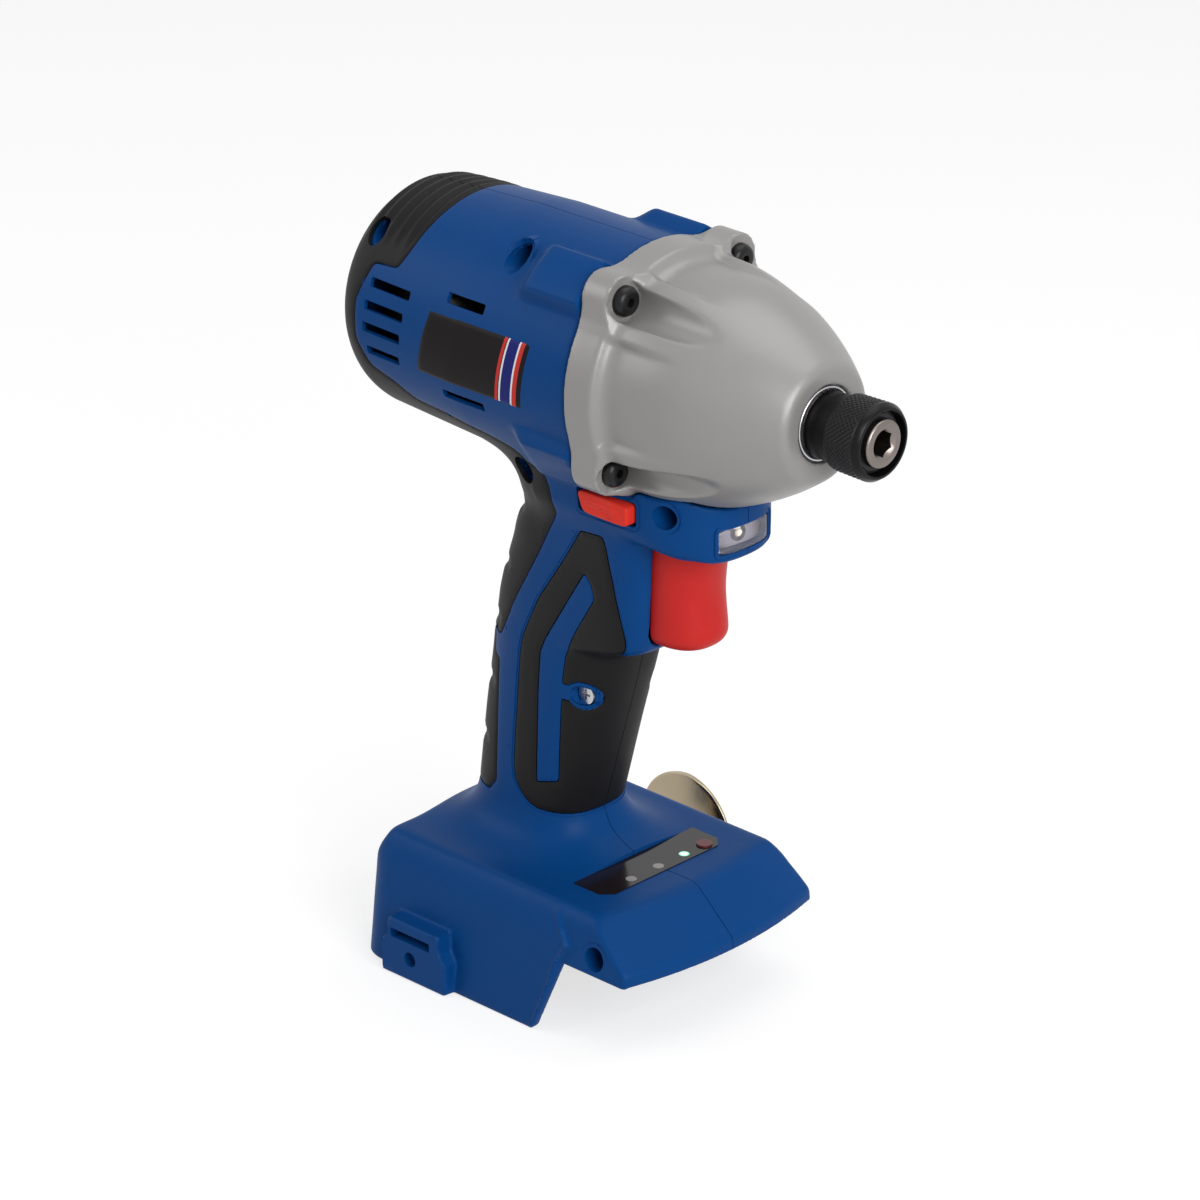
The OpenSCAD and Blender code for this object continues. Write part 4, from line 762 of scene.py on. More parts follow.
LENS = finish_of("clear_lens", srgb(226, 225, 232), 0.04, mottle=0.02, bump=0.01,
                 Transmission_Weight=0.93, IOR=1.3)
LED = finish_of("led_board", srgb(214, 214, 208), 0.3, bump=0.05)
LABEL = finish_of("label", srgb(26, 24, 25), 0.3, bump=0.05, Specular_IOR_Level=0.05)


def label_stripes(mat):
    """Plain upright stripes near the front end of the label, read from its own map."""
    nodes, links = mat.node_tree.nodes, mat.node_tree.links
    uv = nodes.new("ShaderNodeUVMap")
    uv.uv_map = "UVMap"
    part = nodes.new("ShaderNodeSeparateXYZ")
    links.new(uv.outputs["UV"], part.inputs[0])
    ramp = nodes.new("ShaderNodeValToRGB")
    ramp.color_ramp.interpolation = "CONSTANT"
    dark, red = srgb(32, 29, 30), srgb(196, 56, 50)
    white, navy = srgb(225, 225, 228), srgb(34, 40, 110)
    stops = [(0.0, dark), (0.755, red), (0.785, dark), (0.792, white), (0.808, navy), (0.9, white),
             (0.915, red), (0.955, dark)]
    ramp.color_ramp.elements[0].color = dark
    ramp.color_ramp.elements[1].position = stops[1][0]
    ramp.color_ramp.elements[1].color = stops[1][1]
    for pos, col in stops[2:]:
        ramp.color_ramp.elements.new(pos).color = col
    links.new(part.outputs["X"], ramp.inputs["Fac"])
    links.new(ramp.outputs["Color"], nodes["Principled BSDF"].inputs["Base Color"])


label_stripes(LABEL)


def ring_tones(nodes, links, centre, keep, reach, stops):
    """Colour by the distance from a point, measured across the two kept directions, from nought
    to the reach."""
    coord, flat = nodes.new("ShaderNodeTexCoord"), nodes.new("ShaderNodeMapping")
    flat.vector_type = "TEXTURE"
    flat.inputs["Location"].default_value = centre
    only, away = nodes.new("ShaderNodeVectorMath"), nodes.new("ShaderNodeVectorMath")
    only.operation, away.operation = "MULTIPLY", "LENGTH"
    only.inputs[1].default_value = keep
    part, ramp = nodes.new("ShaderNodeMapRange"), nodes.new("ShaderNodeValToRGB")
    part.inputs["From Max"].default_value = reach
    links.new(coord.outputs["Object"], flat.inputs["Vector"])
    links.new(flat.outputs[0], only.inputs[0])
    links.new(only.outputs[0], away.inputs[0])
    links.new(away.outputs["Value"], part.inputs["Value"])
    for element, (spot, colour) in zip(ramp.color_ramp.elements, (stops[0], stops[-1])):
        element.position, element.color = spot, colour
    for spot, colour in stops[1:-1]:
        ramp.color_ramp.elements.new(spot).color = colour
    links.new(part.outputs[0], ramp.inputs["Fac"])
    return ramp.outputs["Color"]


# Indicator lights in metres: level above which their caps start, side of the green one, its middle and reach
CAPS_ABOVE, GREEN_BEYOND = 0.0352, 0.005
GREEN_AT, GREEN_REACH = (0.0416, 0.0099, 0), 0.0016
LAMP_REACH = 0.008
BOARD_GREEN = srgb(40, 96, 60)


def lit_board(mat):
    """Indicator lights on the board: dull grey caps above the board, and one that shines green."""
    nodes, links = mat.node_tree.nodes, mat.node_tree.links
    shader = nodes["Principled BSDF"]
    coord, part = nodes.new("ShaderNodeTexCoord"), nodes.new("ShaderNodeSeparateXYZ")
    links.new(coord.outputs["Object"], part.inputs[0])
    high = maths(nodes, links, "GREATER_THAN", part.outputs["Z"], CAPS_ABOVE)
    far = maths(nodes, links, "GREATER_THAN", part.outputs["Y"], GREEN_BEYOND)
    mix = nodes.new("ShaderNodeMix")
    mix.data_type = "RGBA"
    mix.inputs[6].default_value = BOARD_GREEN
    mix.inputs[7].default_value = srgb(140, 136, 134)
    links.new(high, mix.inputs[0])
    links.new(mix.outputs[2], shader.inputs["Base Color"])
    shine = [(0.0, (0.8, 1.0, 0.88, 1)), (0.5, (0.55, 1.0, 0.75, 1)), (0.75, (0.02, 0.5, 0.22, 1)),
             (1.0, (0, 0.1, 0.05, 1))]
    glow = nodes.new("ShaderNodeMix")
    glow.data_type = "RGBA"
    glow.inputs[6].default_value = (0, 0, 0, 1)
    links.new(ring_tones(nodes, links, GREEN_AT, (1, 1, 0), GREEN_REACH, shine), glow.inputs[7])
    links.new(maths(nodes, links, "MULTIPLY", high, far), glow.inputs[0])
    links.new(glow.outputs[2], shader.inputs["Emission Color"])
    shader.inputs["Emission Strength"].default_value = 1.6


def lamp_rings(mat):
    """Lamp given a painted glow, dark cup round it and a grey dish that darkens outwards, by the distance
    from the lamp's middle."""
    nodes, links = mat.node_tree.nodes, mat.node_tree.links
    shader = nodes["Principled BSDF"]
    black = (0, 0, 0, 1)
    tones = [(0.0, srgb(255, 250, 226)), (0.12, srgb(246, 236, 204)), (0.155, srgb(58, 54, 50)),
             (0.265, srgb(66, 63, 62)), (0.285, srgb(212, 208, 214)), (0.55, srgb(186, 182, 188)),
             (0.8, srgb(112, 106, 106)), (1.0, srgb(84, 78, 80))]
    # Painted glow: emission brightens the lamp's core and a halo round it
    shine = [(0.0, (1.0, 0.96, 0.82, 1)), (0.09, (0.8, 0.74, 0.6, 1)), (0.15, black), (1.0, black)]
    for stops, socket in ((tones, "Base Color"), (shine, "Emission Color")):
        ramp = ring_tones(nodes, links, (0, 0, LIGHT_Z * MM), (0, 1, 1), LAMP_REACH, stops)
        links.new(ramp, shader.inputs[socket])
    shader.inputs["Emission Strength"].default_value = 1.0


lamp_rings(LED)
LIGHTS = finish_of("indicator_lights", BOARD_GREEN, 0.35)
lit_board(LIGHTS)

# Outlines on the side of the body, station and height
REAR_GRIP = [(-62.8, 231), (-62.8, 214.5), (-65.4, 202.5), (-67.2, 198.1), (-75.9, 197.5), (-79.8, 187.1),
             (-79.8, 176.5), (-76, 169), (-68, 166.2), (-62, 162.2), (-51, 161.5), (-38, 159.3), (-28, 156.9),
             (-24.6, 154.1), (-19, 153), (-17.4, 148.5), (-16.6, 141.1), (-20.8, 135.1), (-29.2, 120.9),
             (-37.3, 107.4), (-41.2, 99.5), (-42.7, 96.6), (-60, 96.6),
             (-110, 121.5), (-110, 231)]
LOWER_GRIP = [(-43.4, 89.6), (-43.8, 53.3), (-47, 49.5), (-75, 49.5), (-75, 96.2), (-46.4, 96.2),
              (-46.2, 91), (-45.3, 89.6)]
PAD = [(-9.2, 137.9), (-1.2, 138.5), (-0.2, 129.5), (0.9, 123.1), (2.0, 118.1), (2.9, 114.1), (3.6, 110.5),
       (3.9, 107.4), (2.6, 104.8), (-3.6, 101.4), (20, 98.6), (20, 48.5), (-20, 48.5), (-31, 49.5),
       (-36.3, 55.0), (-37, 61.0), (-34.9, 85.3), (-33.9, 96.3), (-32.5, 101), (-26.6, 112.7)]
STRIPE = [(-9.1, 125.1), (-6.9, 122.3), (-6, 118.4), (-12.9, 107.3), (-17.8, 98.2), (-19.3, 90.1),
          (-22.6, 59.0), (-29.0, 57.6), (-27.3, 87.9), (-26.4, 97.4), (-24.4, 101.6), (-10, 124.2)]
# Screw holes of the right half: station, height, radius, distance of the floor from the middle plane
SCREWS = [(-30.3, AXIS + 26.8, 3.2, 9), (-80, AXIS + 22.3, 3.2, 9), (-27.2, AXIS - 30.9, 3.9, 9),
          (20.4, AXIS - 31.4, 3.3, 9), (-14.2, 86.8, 3.1, 9.8), (12.5, 26.3, 3.4, 12)]
# Vents: first and last station, first and last angle round the barrel
VENTS = [(-75.2, -59.6, 18, 22.5), (-76.2, -61, 7, 11.5), (-76.7, -62, -3.8, 1), (-75.8, -63, -15, -10.7),
         (-46.2, -32.5, 24, 29), (-47, -31.6, -23, -18.5)]
REAR_GRIP, LOWER_GRIP = eased_outline(REAR_GRIP, 1.4), eased_outline(LOWER_GRIP, 1.2)
PAD = eased_outline(PAD, [1.3, 1.5] + [2.0] * 9 + [3.5] * (len(PAD) - 12) + [2.0])
STRIPE = eased_outline(STRIPE, 0.9)

# Island of plastic round the screw in the pad, with its neck to the stripe
HANDLE_SCREW, ISLAND_END = SCREWS[4][:2], (-21, 87.4)
ISLAND_R, ISLAND_NECK = 4.1, 2.4

# Outlines of pockets: two limits along or across, two limits up, corner radius
SELECTOR_HOLE = (-7.2, 12.4, 145.4, 152.4, 1.2)
LENS_HOLE = (-9.35, 9.35, 139.55, 146.55, 0.6)
HOOK_SLOT = (-57.3, -42.3, 11.4, 14.0, 0.4)
VENT_R = 33.2
PANEL_AT, PANEL_HALF_X, PANEL_HALF_Y, PANEL_CUT = -1.6, 6.25, 23.25, 26.45
OUTSIDE = -9.0
FAR_OUTSIDE = -1e3


# Regions of the side, each above zero inside
def rear_grip_at(p):
    """Rear grip."""
    return outline_field(p[:, 0], p[:, 2], REAR_GRIP)


def lower_grip_at(p):
    """Lower grip."""
    return outline_field(p[:, 0], p[:, 2], LOWER_GRIP)


def pad_at(p):
    """Inside the pad outline, outside the coloured stripe and the island around the screw."""
    x, z = p[:, 0], p[:, 2]
    island = ISLAND_R - np.hypot(x - HANDLE_SCREW[0], z - HANDLE_SCREW[1])
    island = np.maximum(island, ISLAND_NECK - path_distance(x, z, [HANDLE_SCREW, ISLAND_END]))
    island = np.where(np.abs(p[:, 1]) > 5, island, OUTSIDE)
    return np.minimum(outline_field(x, z, PAD), -np.maximum(outline_field(x, z, STRIPE), island))


def rubber_at(p):
    """Any of the grips."""
    return np.maximum(np.maximum(rear_grip_at(p), lower_grip_at(p)), pad_at(p))


def vents_at(p):
    """Vents: rectangles between two stations and between the heights of two angles round the barrel."""
    best = np.full(len(p), FAR_OUTSIDE)
    for x0, x1, a0, a1 in VENTS:
        z0, z1 = (AXIS + VENT_R * math.sin(math.radians(a)) for a in (a0, a1))
        best = np.maximum(best, plate_field(p[:, 0], p[:, 2], x0, x1, z0, z1, 0.4))
    return best


def screws_at(p):
    """All screw holes of the right half."""
    best = np.full(len(p), FAR_OUTSIDE)
    for x, z, r, _ in SCREWS:
        best = np.maximum(best, r - np.hypot(p[:, 0] - x, p[:, 2] - z))
    return np.where(p[:, 1] < -6, best, FAR_OUTSIDE)


def screw_at(k):
    """One screw hole, as a function of the points."""
    x, z, r, _ = SCREWS[k]
    return lambda p: np.where(p[:, 1] < -6, r - np.hypot(p[:, 0] - x, p[:, 2] - z), OUTSIDE)


def selector_at(p):
    """Hole of the direction selector."""
    return np.where(p[:, 1] < -8, plate_field(p[:, 0], p[:, 2], *SELECTOR_HOLE), OUTSIDE)


def lens_at(p):
    """Window of the work light."""
    return np.where(p[:, 0] > 20, plate_field(p[:, 1], p[:, 2], *LENS_HOLE), OUTSIDE)


def panel_at(p):
    """Panel outline with its two front corners cut."""
    x, y = p[:, 0] - PANEL_AT, np.abs(p[:, 1])
    d = np.maximum(np.maximum(np.abs(x) - PANEL_HALF_X, y - PANEL_HALF_Y), (x + y - PANEL_CUT) * DIAGONAL)
    return np.where((p[:, 2] > 35) & (p[:, 2] < 40), -d, OUTSIDE)


def slot_at(p):
    """Slot that takes the end of the belt hook."""
    return np.where(p[:, 1] < -40, plate_field(p[:, 0], p[:, 2], *HOOK_SLOT), OUTSIDE)


def hook_hole_at(p):
    """Hole of the hook screw."""
    away = np.hypot(p[:, 0] - HOOK_AT, p[:, 2] - HOOK_SCREW_Z)
    return np.where(p[:, 1] < -40, HOOK_HOLE_R - away, OUTSIDE)


FEATURES = [rubber_at, vents_at, screws_at, selector_at, lens_at, panel_at, slot_at, hook_hole_at]


def nearest_feature(p):
    """Distance to the nearest feature line or to the seam."""
    best = np.full(len(p), 1e3)
    for f in FEATURES:
        best = np.minimum(best, np.abs(f(p)))
    return np.minimum(best, np.abs(p[:, 1] + 0.1))


def nearest_ridge(p):
    """The same, but nought all over the ribbed top of the tail cap."""
    ribbed = (p[:, 0] < -62) & (p[:, 2] > AXIS + 14) & (rear_grip_at(p) > 0)
    return np.where(ribbed, 0.0, nearest_feature(p))


def make_body(step, near, sizes, bend, short):
    """Right side of the body as one even skin, refined along its feature lines."""
    skin = skin_of(body_field, (-92.5, -46.5, -2.0), (35.5, 2.6, 218.5), step)
    skin = relax(skin, body_field, 3)
    for size in sizes:
        skin = refine(skin, body_field, near, size, bend, short)
    return unfold(skin, body_field)


def seam(p):
    """Above zero on the right of the parting plane."""
    return -SEAM - p[:, 1]


def mouth(p):
    """Below zero in the round opening behind the nose."""
    return np.maximum(np.abs(p[:, 0] - 1) - 1.9, np.hypot(p[:, 1], p[:, 2] - AXIS) - MOUTH_R)


def to_level(axis, level):
    """Move that brings points to one level along an axis."""
    def move(p, n):
        flat = p.copy()
        flat[:, axis] = level
        return flat
    return move


# Pockets of both halves: region, axis that the floor is square to, level of the floor
POCKETS = [(selector_at, 1, -11.3), (lens_at, 0, 26.4), (panel_at, 2, 32.7), (slot_at, 1, -40.0),
           (hook_hole_at, 1, -41.7)]


def housing_half(skin, right):
    """Plastic half: sunk under the grips, with its pockets and vents, cut at the seam and given a wall."""
    lip = 0.15 * bell(rubber_at(skin.points), 0.4)
    s = Skin(skin.points - normals_of(skin.points, skin.tris) * lip[:, None], skin.tris)
    s = sink(s, lambda p: outline_field(p[:, 0], p[:, 2], PAD) + 0.75, lambda p, n: p - 0.22 * n)
    s = sink(s, lambda p: rubber_at(p) + GAP, lambda p, n: p - GRIP_SEAT * n)
    holes = [(screw_at(k), 1, -row[3]) for k, row in enumerate(SCREWS)] if right else []
    for region, axis, level in holes + POCKETS:
        s = sink(s, region, to_level(axis, level))
    s = keep_side(s, lambda p: -np.where(p[:, 1] < -8, vents_at(p), OUTSIDE))
    return thicken(keep_side(keep_side(s, mouth), seam), WALL)


# Rings of the tail cap and hollows of the handle
RING_AT, RING_PITCH, RING_HEIGHT = -64.5, 3.9, 0.36
HOLLOWS, HOLLOW_HALF, HOLLOW_DEPTH = (135.5, 117.0, 99.8, 81.0, 63.6), 2.1, 0.6


def grip_ridges(p):
    """Rings round the top of the tail cap and shallow oblong hollows across the back of the handle."""
    x, y, z = p[:, 0], p[:, 1], p[:, 2]
    up = np.degrees(np.arctan2(z - AXIS, np.abs(y)))
    wave = np.cos((x - RING_AT) * 2 * math.pi / RING_PITCH)
    rings = RING_HEIGHT * wave * ease(up, 36, 52) * ease(x, -87, -84) * ease(-x, 63.8, 65.2)
    hollow = np.zeros_like(x)
    for level in HOLLOWS:
        oblong = plate_field(y, z, -14.5, 14.5, level - HOLLOW_HALF, level + HOLLOW_HALF, 2.0)
        hollow = np.maximum(hollow, ease(oblong, -0.5, 0.5))
    return rings - HOLLOW_DEPTH * hollow * ease(-x, 28, 34)


def grip(skin, region, right, ridges):
    """Rubber skin over one region, with eased edges and ridges, cut at the seam and given its thickness."""
    n = normals_of(skin.points, skin.tris)
    g = region(skin.points)
    drop = -0.3 * bell(g, 0.55) + (grip_ridges(skin.points) * ease(g, 0.3, 1.6) if ridges else 0)
    s = Skin(skin.points + n * np.asarray(drop).reshape(-1, 1), skin.tris)
    s = keep_side(s, lambda p: region(p) - GAP)
    if right:
        s = keep_side(s, lambda p: -screws_at(p) - 0.05)
    return thicken(keep_side(s, seam), WALL)


SHELL = make_body(1.75, nearest_feature, (1.0, 0.8), 17.0, 0.9)
BODY = make_body(1.5, nearest_ridge, (0.9, 0.55), 14.0, 0.6)
for side_name, right in (("right", True), ("left", False)):
    sides = [("housing", housing_half(SHELL, right), BLUE, "blue_plastic", 31),
             ("rear_grip", grip(BODY, rear_grip_at, right, True), RUBBER, "soft_grip", 58),
             ("lower_grip", grip(BODY, lower_grip_at, right, True), RUBBER, "soft_grip", 58),
             ("palm_pad", grip(BODY, pad_at, right, False), RUBBER, "soft_grip", 58)]
    for part, skin, mat, slot, sharp in sides:
        if not right:
            skin = mirrored(skin)
        name = part + "_" + side_name
        place(name + "_shell", skin.points, skin.tris, mat, "housing", slot, [name], sharp)


# Cast nose, refined only where it bends
def no_feature(p):
    """Far from any feature line."""
    return np.full(len(p), 9.0)


case = relax(skin_of(case_field, (-1.5, -43, AXIS - 43), (61, 43, AXIS + 43), 1.05), case_field, 3)
case = refine(case, case_field, no_feature, 0.6, 16.0)
place("hammer_case_shell", case.points, case.tris, CAST, "housing", "cast_case", ["hammer_case"], 45)


# Screws of the nose
def case_screw(y, z):
    """Pan head with a rounded rim and a round recess, on its shank."""
    prof = [(0.01, 9.6), (1.1, 9.6), (1.25, 11.2), (2.6, 11.35), (3.5, 10.9), (4.05, 9.9), (4.1, 8.6),
            (2.0, 8.5), (2.0, -14.5), (0.01, -15)]
    pts, faces = revolved(prof[::-1], 36)
    return pts + np.array([0, y, z]), faces


heads = joined([case_screw(side * y, z) for y, z in EARS for side in (-1, 1)])
place("case_screw_heads", heads[0], heads[1], DARK_STEEL, "housing", "dark_steel", ["case_screws"])


# Chuck sleeve
KNURLS, KNURL_FROM, KNURL_SLANT = 46, 67, 2.1


def knurl(a, s):
    """Crossed grooves in the band of the sleeve: the root of two slanting waves round it, multiplied."""
    band = ease(s, 66.9, 67.3) * (1 - ease(s, 75.5, 75.8))
    turn, slant = a * KNURLS / 2, (s - KNURL_FROM) * KNURL_SLANT
    cross = np.abs(np.sin(turn + slant)) * np.abs(np.sin(turn - slant))
    return band * (0.34 * np.sqrt(cross) - 0.24)


sleeve_profile = ([(6.55, 66.2), (6.55, 60.5), (7.3, 58.9), (8.75, 58.9), (8.9, 59.1), (8.9, 65.6),
                   (9.0, 65.9), (9.9, 66.6)]
                  + [(10.2 + 0.2 * (s - 66.8) / 9, s) for s in np.arange(66.8, 76.0, 0.22)]
                  + [(10.45, 76.2), (10.4, 76.45), (9.5, 77.75), (9.3, 77.9), (9.0, 77.95), (8.7, 77.9),
                     (8.6, 77.7), (8.6, 66.2), (6.55, 66.2)])
pts, faces = revolved(sleeve_profile, 368, knurl)
pts[:, 2] += AXIS
place("chuck_sleeve_knurled", pts, faces, SLEEVE, "sleeve", "dark_steel", ["chuck_sleeve"], 50)


# Ring in the nose
ring_profile = [(7.15, 58.2), (7.15, 57.2), (10.0, 57.2), (10.0, 58.2), (9.93, 58.45), (9.75, 58.62),
                (9.55, 58.68), (9.3, 58.6), (9.1, 58.4), (7.15, 58.2)]
pts, faces = revolved(ring_profile, 128)
pts[:, 2] += AXIS
place("nose_ring_rounded", pts, faces, STEEL, "housing", "bright_steel", ["nose_ring"], 50)


# Anvil: half the hexagon across flats, radius of its mouth, station of its tip, depth of the socket
HEX_HALF, MOUTH, TIP, SOCKET = 3.225, 4.25, 78.4, 26


def anvil_body():
    """Turned bar whose bore is a hexagon by angle, with a cone cut round its mouth, and two square lugs
    at the back."""
    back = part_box("anvil")[0][0] * 1000 - FLANGE
    a = round_angles(120)
    hexagon = HEX_HALF / np.cos((a + math.pi / 6) % (math.pi / 3) - math.pi / 6)
    rows = [(0.01 + 0 * a, TIP - SOCKET + 0 * a), (hexagon, TIP - SOCKET + 0 * a),
            (hexagon, TIP - (MOUTH - hexagon))]
    turned = [(MOUTH, TIP), (MOUTH + 0.12, TIP + 0.02), (5.75, TIP + 0.02), (6.1, TIP - 0.08),
              (6.4, TIP - 0.35), (6.5, TIP - 0.7), (6.5, 59.4), (7, 58.9), (7, back + 6), (10, back + 6),
              (10, back), (4.1, back), (4.1, back + 9), (0.01, back + 9)]
    rows += [(r + 0 * a, s + 0 * a) for r, s in turned]
    pts = np.stack([np.stack([s, -r * np.cos(a), AXIS + r * np.sin(a)], -1) for r, s in rows]).reshape(-1, 3)
    parts = [(pts, grid_faces(len(rows), 120, True)[:, ::-1])]
    t = round_angles(40)
    u, v = squared(np.cos(t), 0.2), squared(np.sin(t), 0.2)
    levels = [(5.0, 0.01), (5.0, 1.0), (19.3, 1.0), (19.9, 0.9), (19.9, 0.01)]
    for side in (-1, 1):
        lug = [np.stack([back + 3 + 3 * f * u, 5 * f * v, AXIS + side * (r + 0 * u)], 1) for r, f in levels]
        faces = grid_faces(len(levels), 40, True)
        parts.append((np.concatenate(lug), faces if side > 0 else faces[:, ::-1]))
    return joined(parts)


pts, faces = anvil_body()
place("anvil_bar", pts, faces, ANVIL, "chuck", "bright_steel", ["anvil"], 40)


# Trigger: rounding of its lower corners, station from which the front swells, powers of front and back
CORNER, TRIGGER_MID, FRONT_POWER, BACK_POWER = 4.5, 10.0, 2 / 2.3, 2 / 9.0


def trigger_surface():
    """Stack of oval-fronted sections; the front line curves in for the finger and the lower corners
    are rounded."""
    low, high, mid = TRIGGER_LOW, TRIGGER_HIGH, TRIGGER_MID
    swing, short = np.linspace(0, math.pi / 2, 16), np.linspace(0, math.pi / 2, 5)
    z = np.concatenate([low + CORNER * (1 - np.cos(swing)), np.linspace(low + CORNER + 0.4, high - 0.8, 40),
                        high - 0.5 * (1 - np.sin(short))])
    inset = np.concatenate([CORNER * (1 - np.sin(swing)), np.zeros(40), 0.5 * (1 - np.cos(short))])
    front = np.interp(z, [107, 107.4, 108, 109.2, 111, 114, 118.7, 123, 128.7, 133, 137],
                      [17.4, 19.4, 20.5, 21.6, 22.0, 21.5, 20.7, 20.4, 21.1, 22.0, 22.6])
    front[6:-6] = np.convolve(front, np.ones(7) / 7, mode="same")[6:-6]
    t = round_angles(120)
    wide = (TRIGGER_HALF - inset)[:, None]
    ahead = (front - mid)[:, None]
    behind = np.full_like(ahead, mid - TRIGGER_BACK)
    c, s = np.cos(t)[None, :], np.sin(t)[None, :]
    reach = np.where(c > 0, ahead * np.abs(c) ** FRONT_POWER, -behind * np.abs(c) ** BACK_POWER)
    across = wide * squared(s, np.where(c > 0, FRONT_POWER, BACK_POWER))
    pts = np.stack([mid + reach, across, np.broadcast_to(z[:, None], reach.shape)], -1)
    ends = []
    for row, sizes in ((pts[0], (0.01, 0.4, 0.8)), (pts[-1], (0.8, 0.4, 0.01))):
        centre = row.mean(0)
        ends.append(np.stack([centre + (row - centre) * f for f in sizes]))
    full = np.concatenate([ends[0], pts, ends[1]])
    return full.reshape(-1, 3), grid_faces(len(full), 120, True)


pts, faces = trigger_surface()
place("trigger_lever", pts, faces, RED, "trigger", "red_plastic", ["trigger"], 60)


# Direction selector: middle and half size of a button, levels of its back, shoulder and face, arrow height
PADDLE_X, PADDLE_Z, PADDLE_HALF_X, PADDLE_HALF_Z = 2.5, 148.9, 9.1, 3.05
PADDLE_BACK, PADDLE_SHOULDER, PADDLE_FACE, PADDLE_ROUND = -16.0, -22.8, -23.6, 0.8
ARROW_X, ARROW_Z, ARROW_HEIGHT = 2.2, 149.2, 0.28
BAR_END, BAR_X, BAR_Z = 16.4, 3, AXIS - 37.9


def selector_paddle():
    """Rounded four-sided button, lower edge shorter, with a raised arrow on its face."""
    t = round_angles(200)
    u, v = squared(np.cos(t), 2 / 6.0), squared(np.sin(t), 2 / 6.0)

    def ring(y, inset, scale=1.0):
        hx, hz = (PADDLE_HALF_X - inset) * scale, (PADDLE_HALF_Z - inset) * scale
        z = PADDLE_Z + hz * v
        slant = 2.4 * (1 - (z - 145.8) / 6.2) * (1 - u) / 2
        return np.stack([PADDLE_X + hx * u + slant, np.full(200, y), z], 1)

    rows = [ring(PADDLE_BACK, 0.0, f) for f in (0.01, 0.6, 1.0)]
    rows += [ring(PADDLE_SHOULDER - PADDLE_ROUND * math.sin(a), PADDLE_ROUND * (1 - math.cos(a)))
             for a in np.linspace(0, math.pi / 2, 7)]
    rows += [ring(PADDLE_FACE, PADDLE_ROUND, f) for f in np.linspace(0.97, 0.01, 46)]
    pts = np.stack(rows)
    x, z = pts[..., 0], pts[..., 2]
    shaft = np.maximum(np.abs(x - ARROW_X) - 5.2, np.abs(z - ARROW_Z) - 0.45)
    head = np.maximum(np.abs(z - ARROW_Z) - (8.8 - x) * 0.75, 5.6 - x)
    arrow = ease(-np.minimum(shaft, head), -0.35, 0.15)
    pts[..., 1] -= np.where(pts[..., 1] < -23.5, ARROW_HEIGHT * arrow, 0)
    return pts.reshape(-1, 3), grid_faces(len(rows), 200, True)[:, ::-1]


def selector_bar():
    """Bar with rounded corners that joins the two buttons."""
    t = round_angles(24)
    u, v = squared(np.cos(t), 0.3), squared(np.sin(t), 0.3)
    rows = [np.stack([BAR_X + 5 * f * u, np.full(24, y), BAR_Z + 1.85 * f * v], 1)
            for y, f in ((-BAR_END, 0.01), (-BAR_END, 1), (BAR_END, 1), (BAR_END, 0.01))]
    return np.concatenate(rows), grid_faces(4, 24, True)


near = selector_paddle()
far_side = (near[0] * np.array([1, -1, 1.0]), near[1][:, ::-1])
bar = selector_bar()
pts, faces = joined([near, far_side, bar])
place("direction_selector_button", pts, faces, ORANGE, "selector", "orange_plastic",
      ["direction_selector"], 50)


# Label: points along and across it, stations of its ends, angles of its edges, lift, depth of its underside
ALONG, ACROSS = 40, 30
LABEL_ENDS, LABEL_ANGLES, LABEL_LIFT, LABEL_DEPTH = (-53.5, -15.5), (-13, 18.3), 0.2, 0.3


def label_sheet():
    """Thin curved sheet on the barrel, its edges tucked in, mapped along and across."""
    s = np.linspace(*LABEL_ENDS, ALONG)
    a = np.radians(np.linspace(*LABEL_ANGLES, ACROSS))
    lean = np.linspace(-2.0, 2.0, ACROSS) * np.linspace(1, 0.75, ALONG)[:, None]
    r = (barrel_radius(s) + LABEL_LIFT)[:, None]
    edge = np.zeros((ALONG, ACROSS))
    edge[0, :] = edge[-1, :] = edge[:, 0] = edge[:, -1] = 0.25
    top, low = (np.stack([s[:, None] + lean, -rr * np.cos(a), AXIS + rr * np.sin(a)], -1).reshape(-1, 3)
                for rr in (r - edge, r - LABEL_DEPTH + 0 * edge))
    uv = np.stack(np.meshgrid(np.linspace(0, 1, ALONG), np.linspace(0, 1, ACROSS), indexing="ij"), -1)
    f, under = grid_faces(ALONG, ACROSS, False), ALONG * ACROSS
    number = np.arange(under).reshape(ALONG, ACROSS)
    loop = np.concatenate([number[0], number[1:, -1], number[-1, -2::-1], number[-2:0:-1, 0]])
    nxt = np.roll(loop, -1)
    rim = np.stack([loop, loop + under, nxt + under, nxt], 1)
    faces = np.concatenate([f[:, ::-1], f + under, rim])
    return np.concatenate([top, low]), faces, np.tile(uv.reshape(-1, 2), (2, 1))


pts, faces, uv = label_sheet()
place("side_label_sheet", pts, faces, LABEL, "housing", "label", ["side_label"], 60, uv)


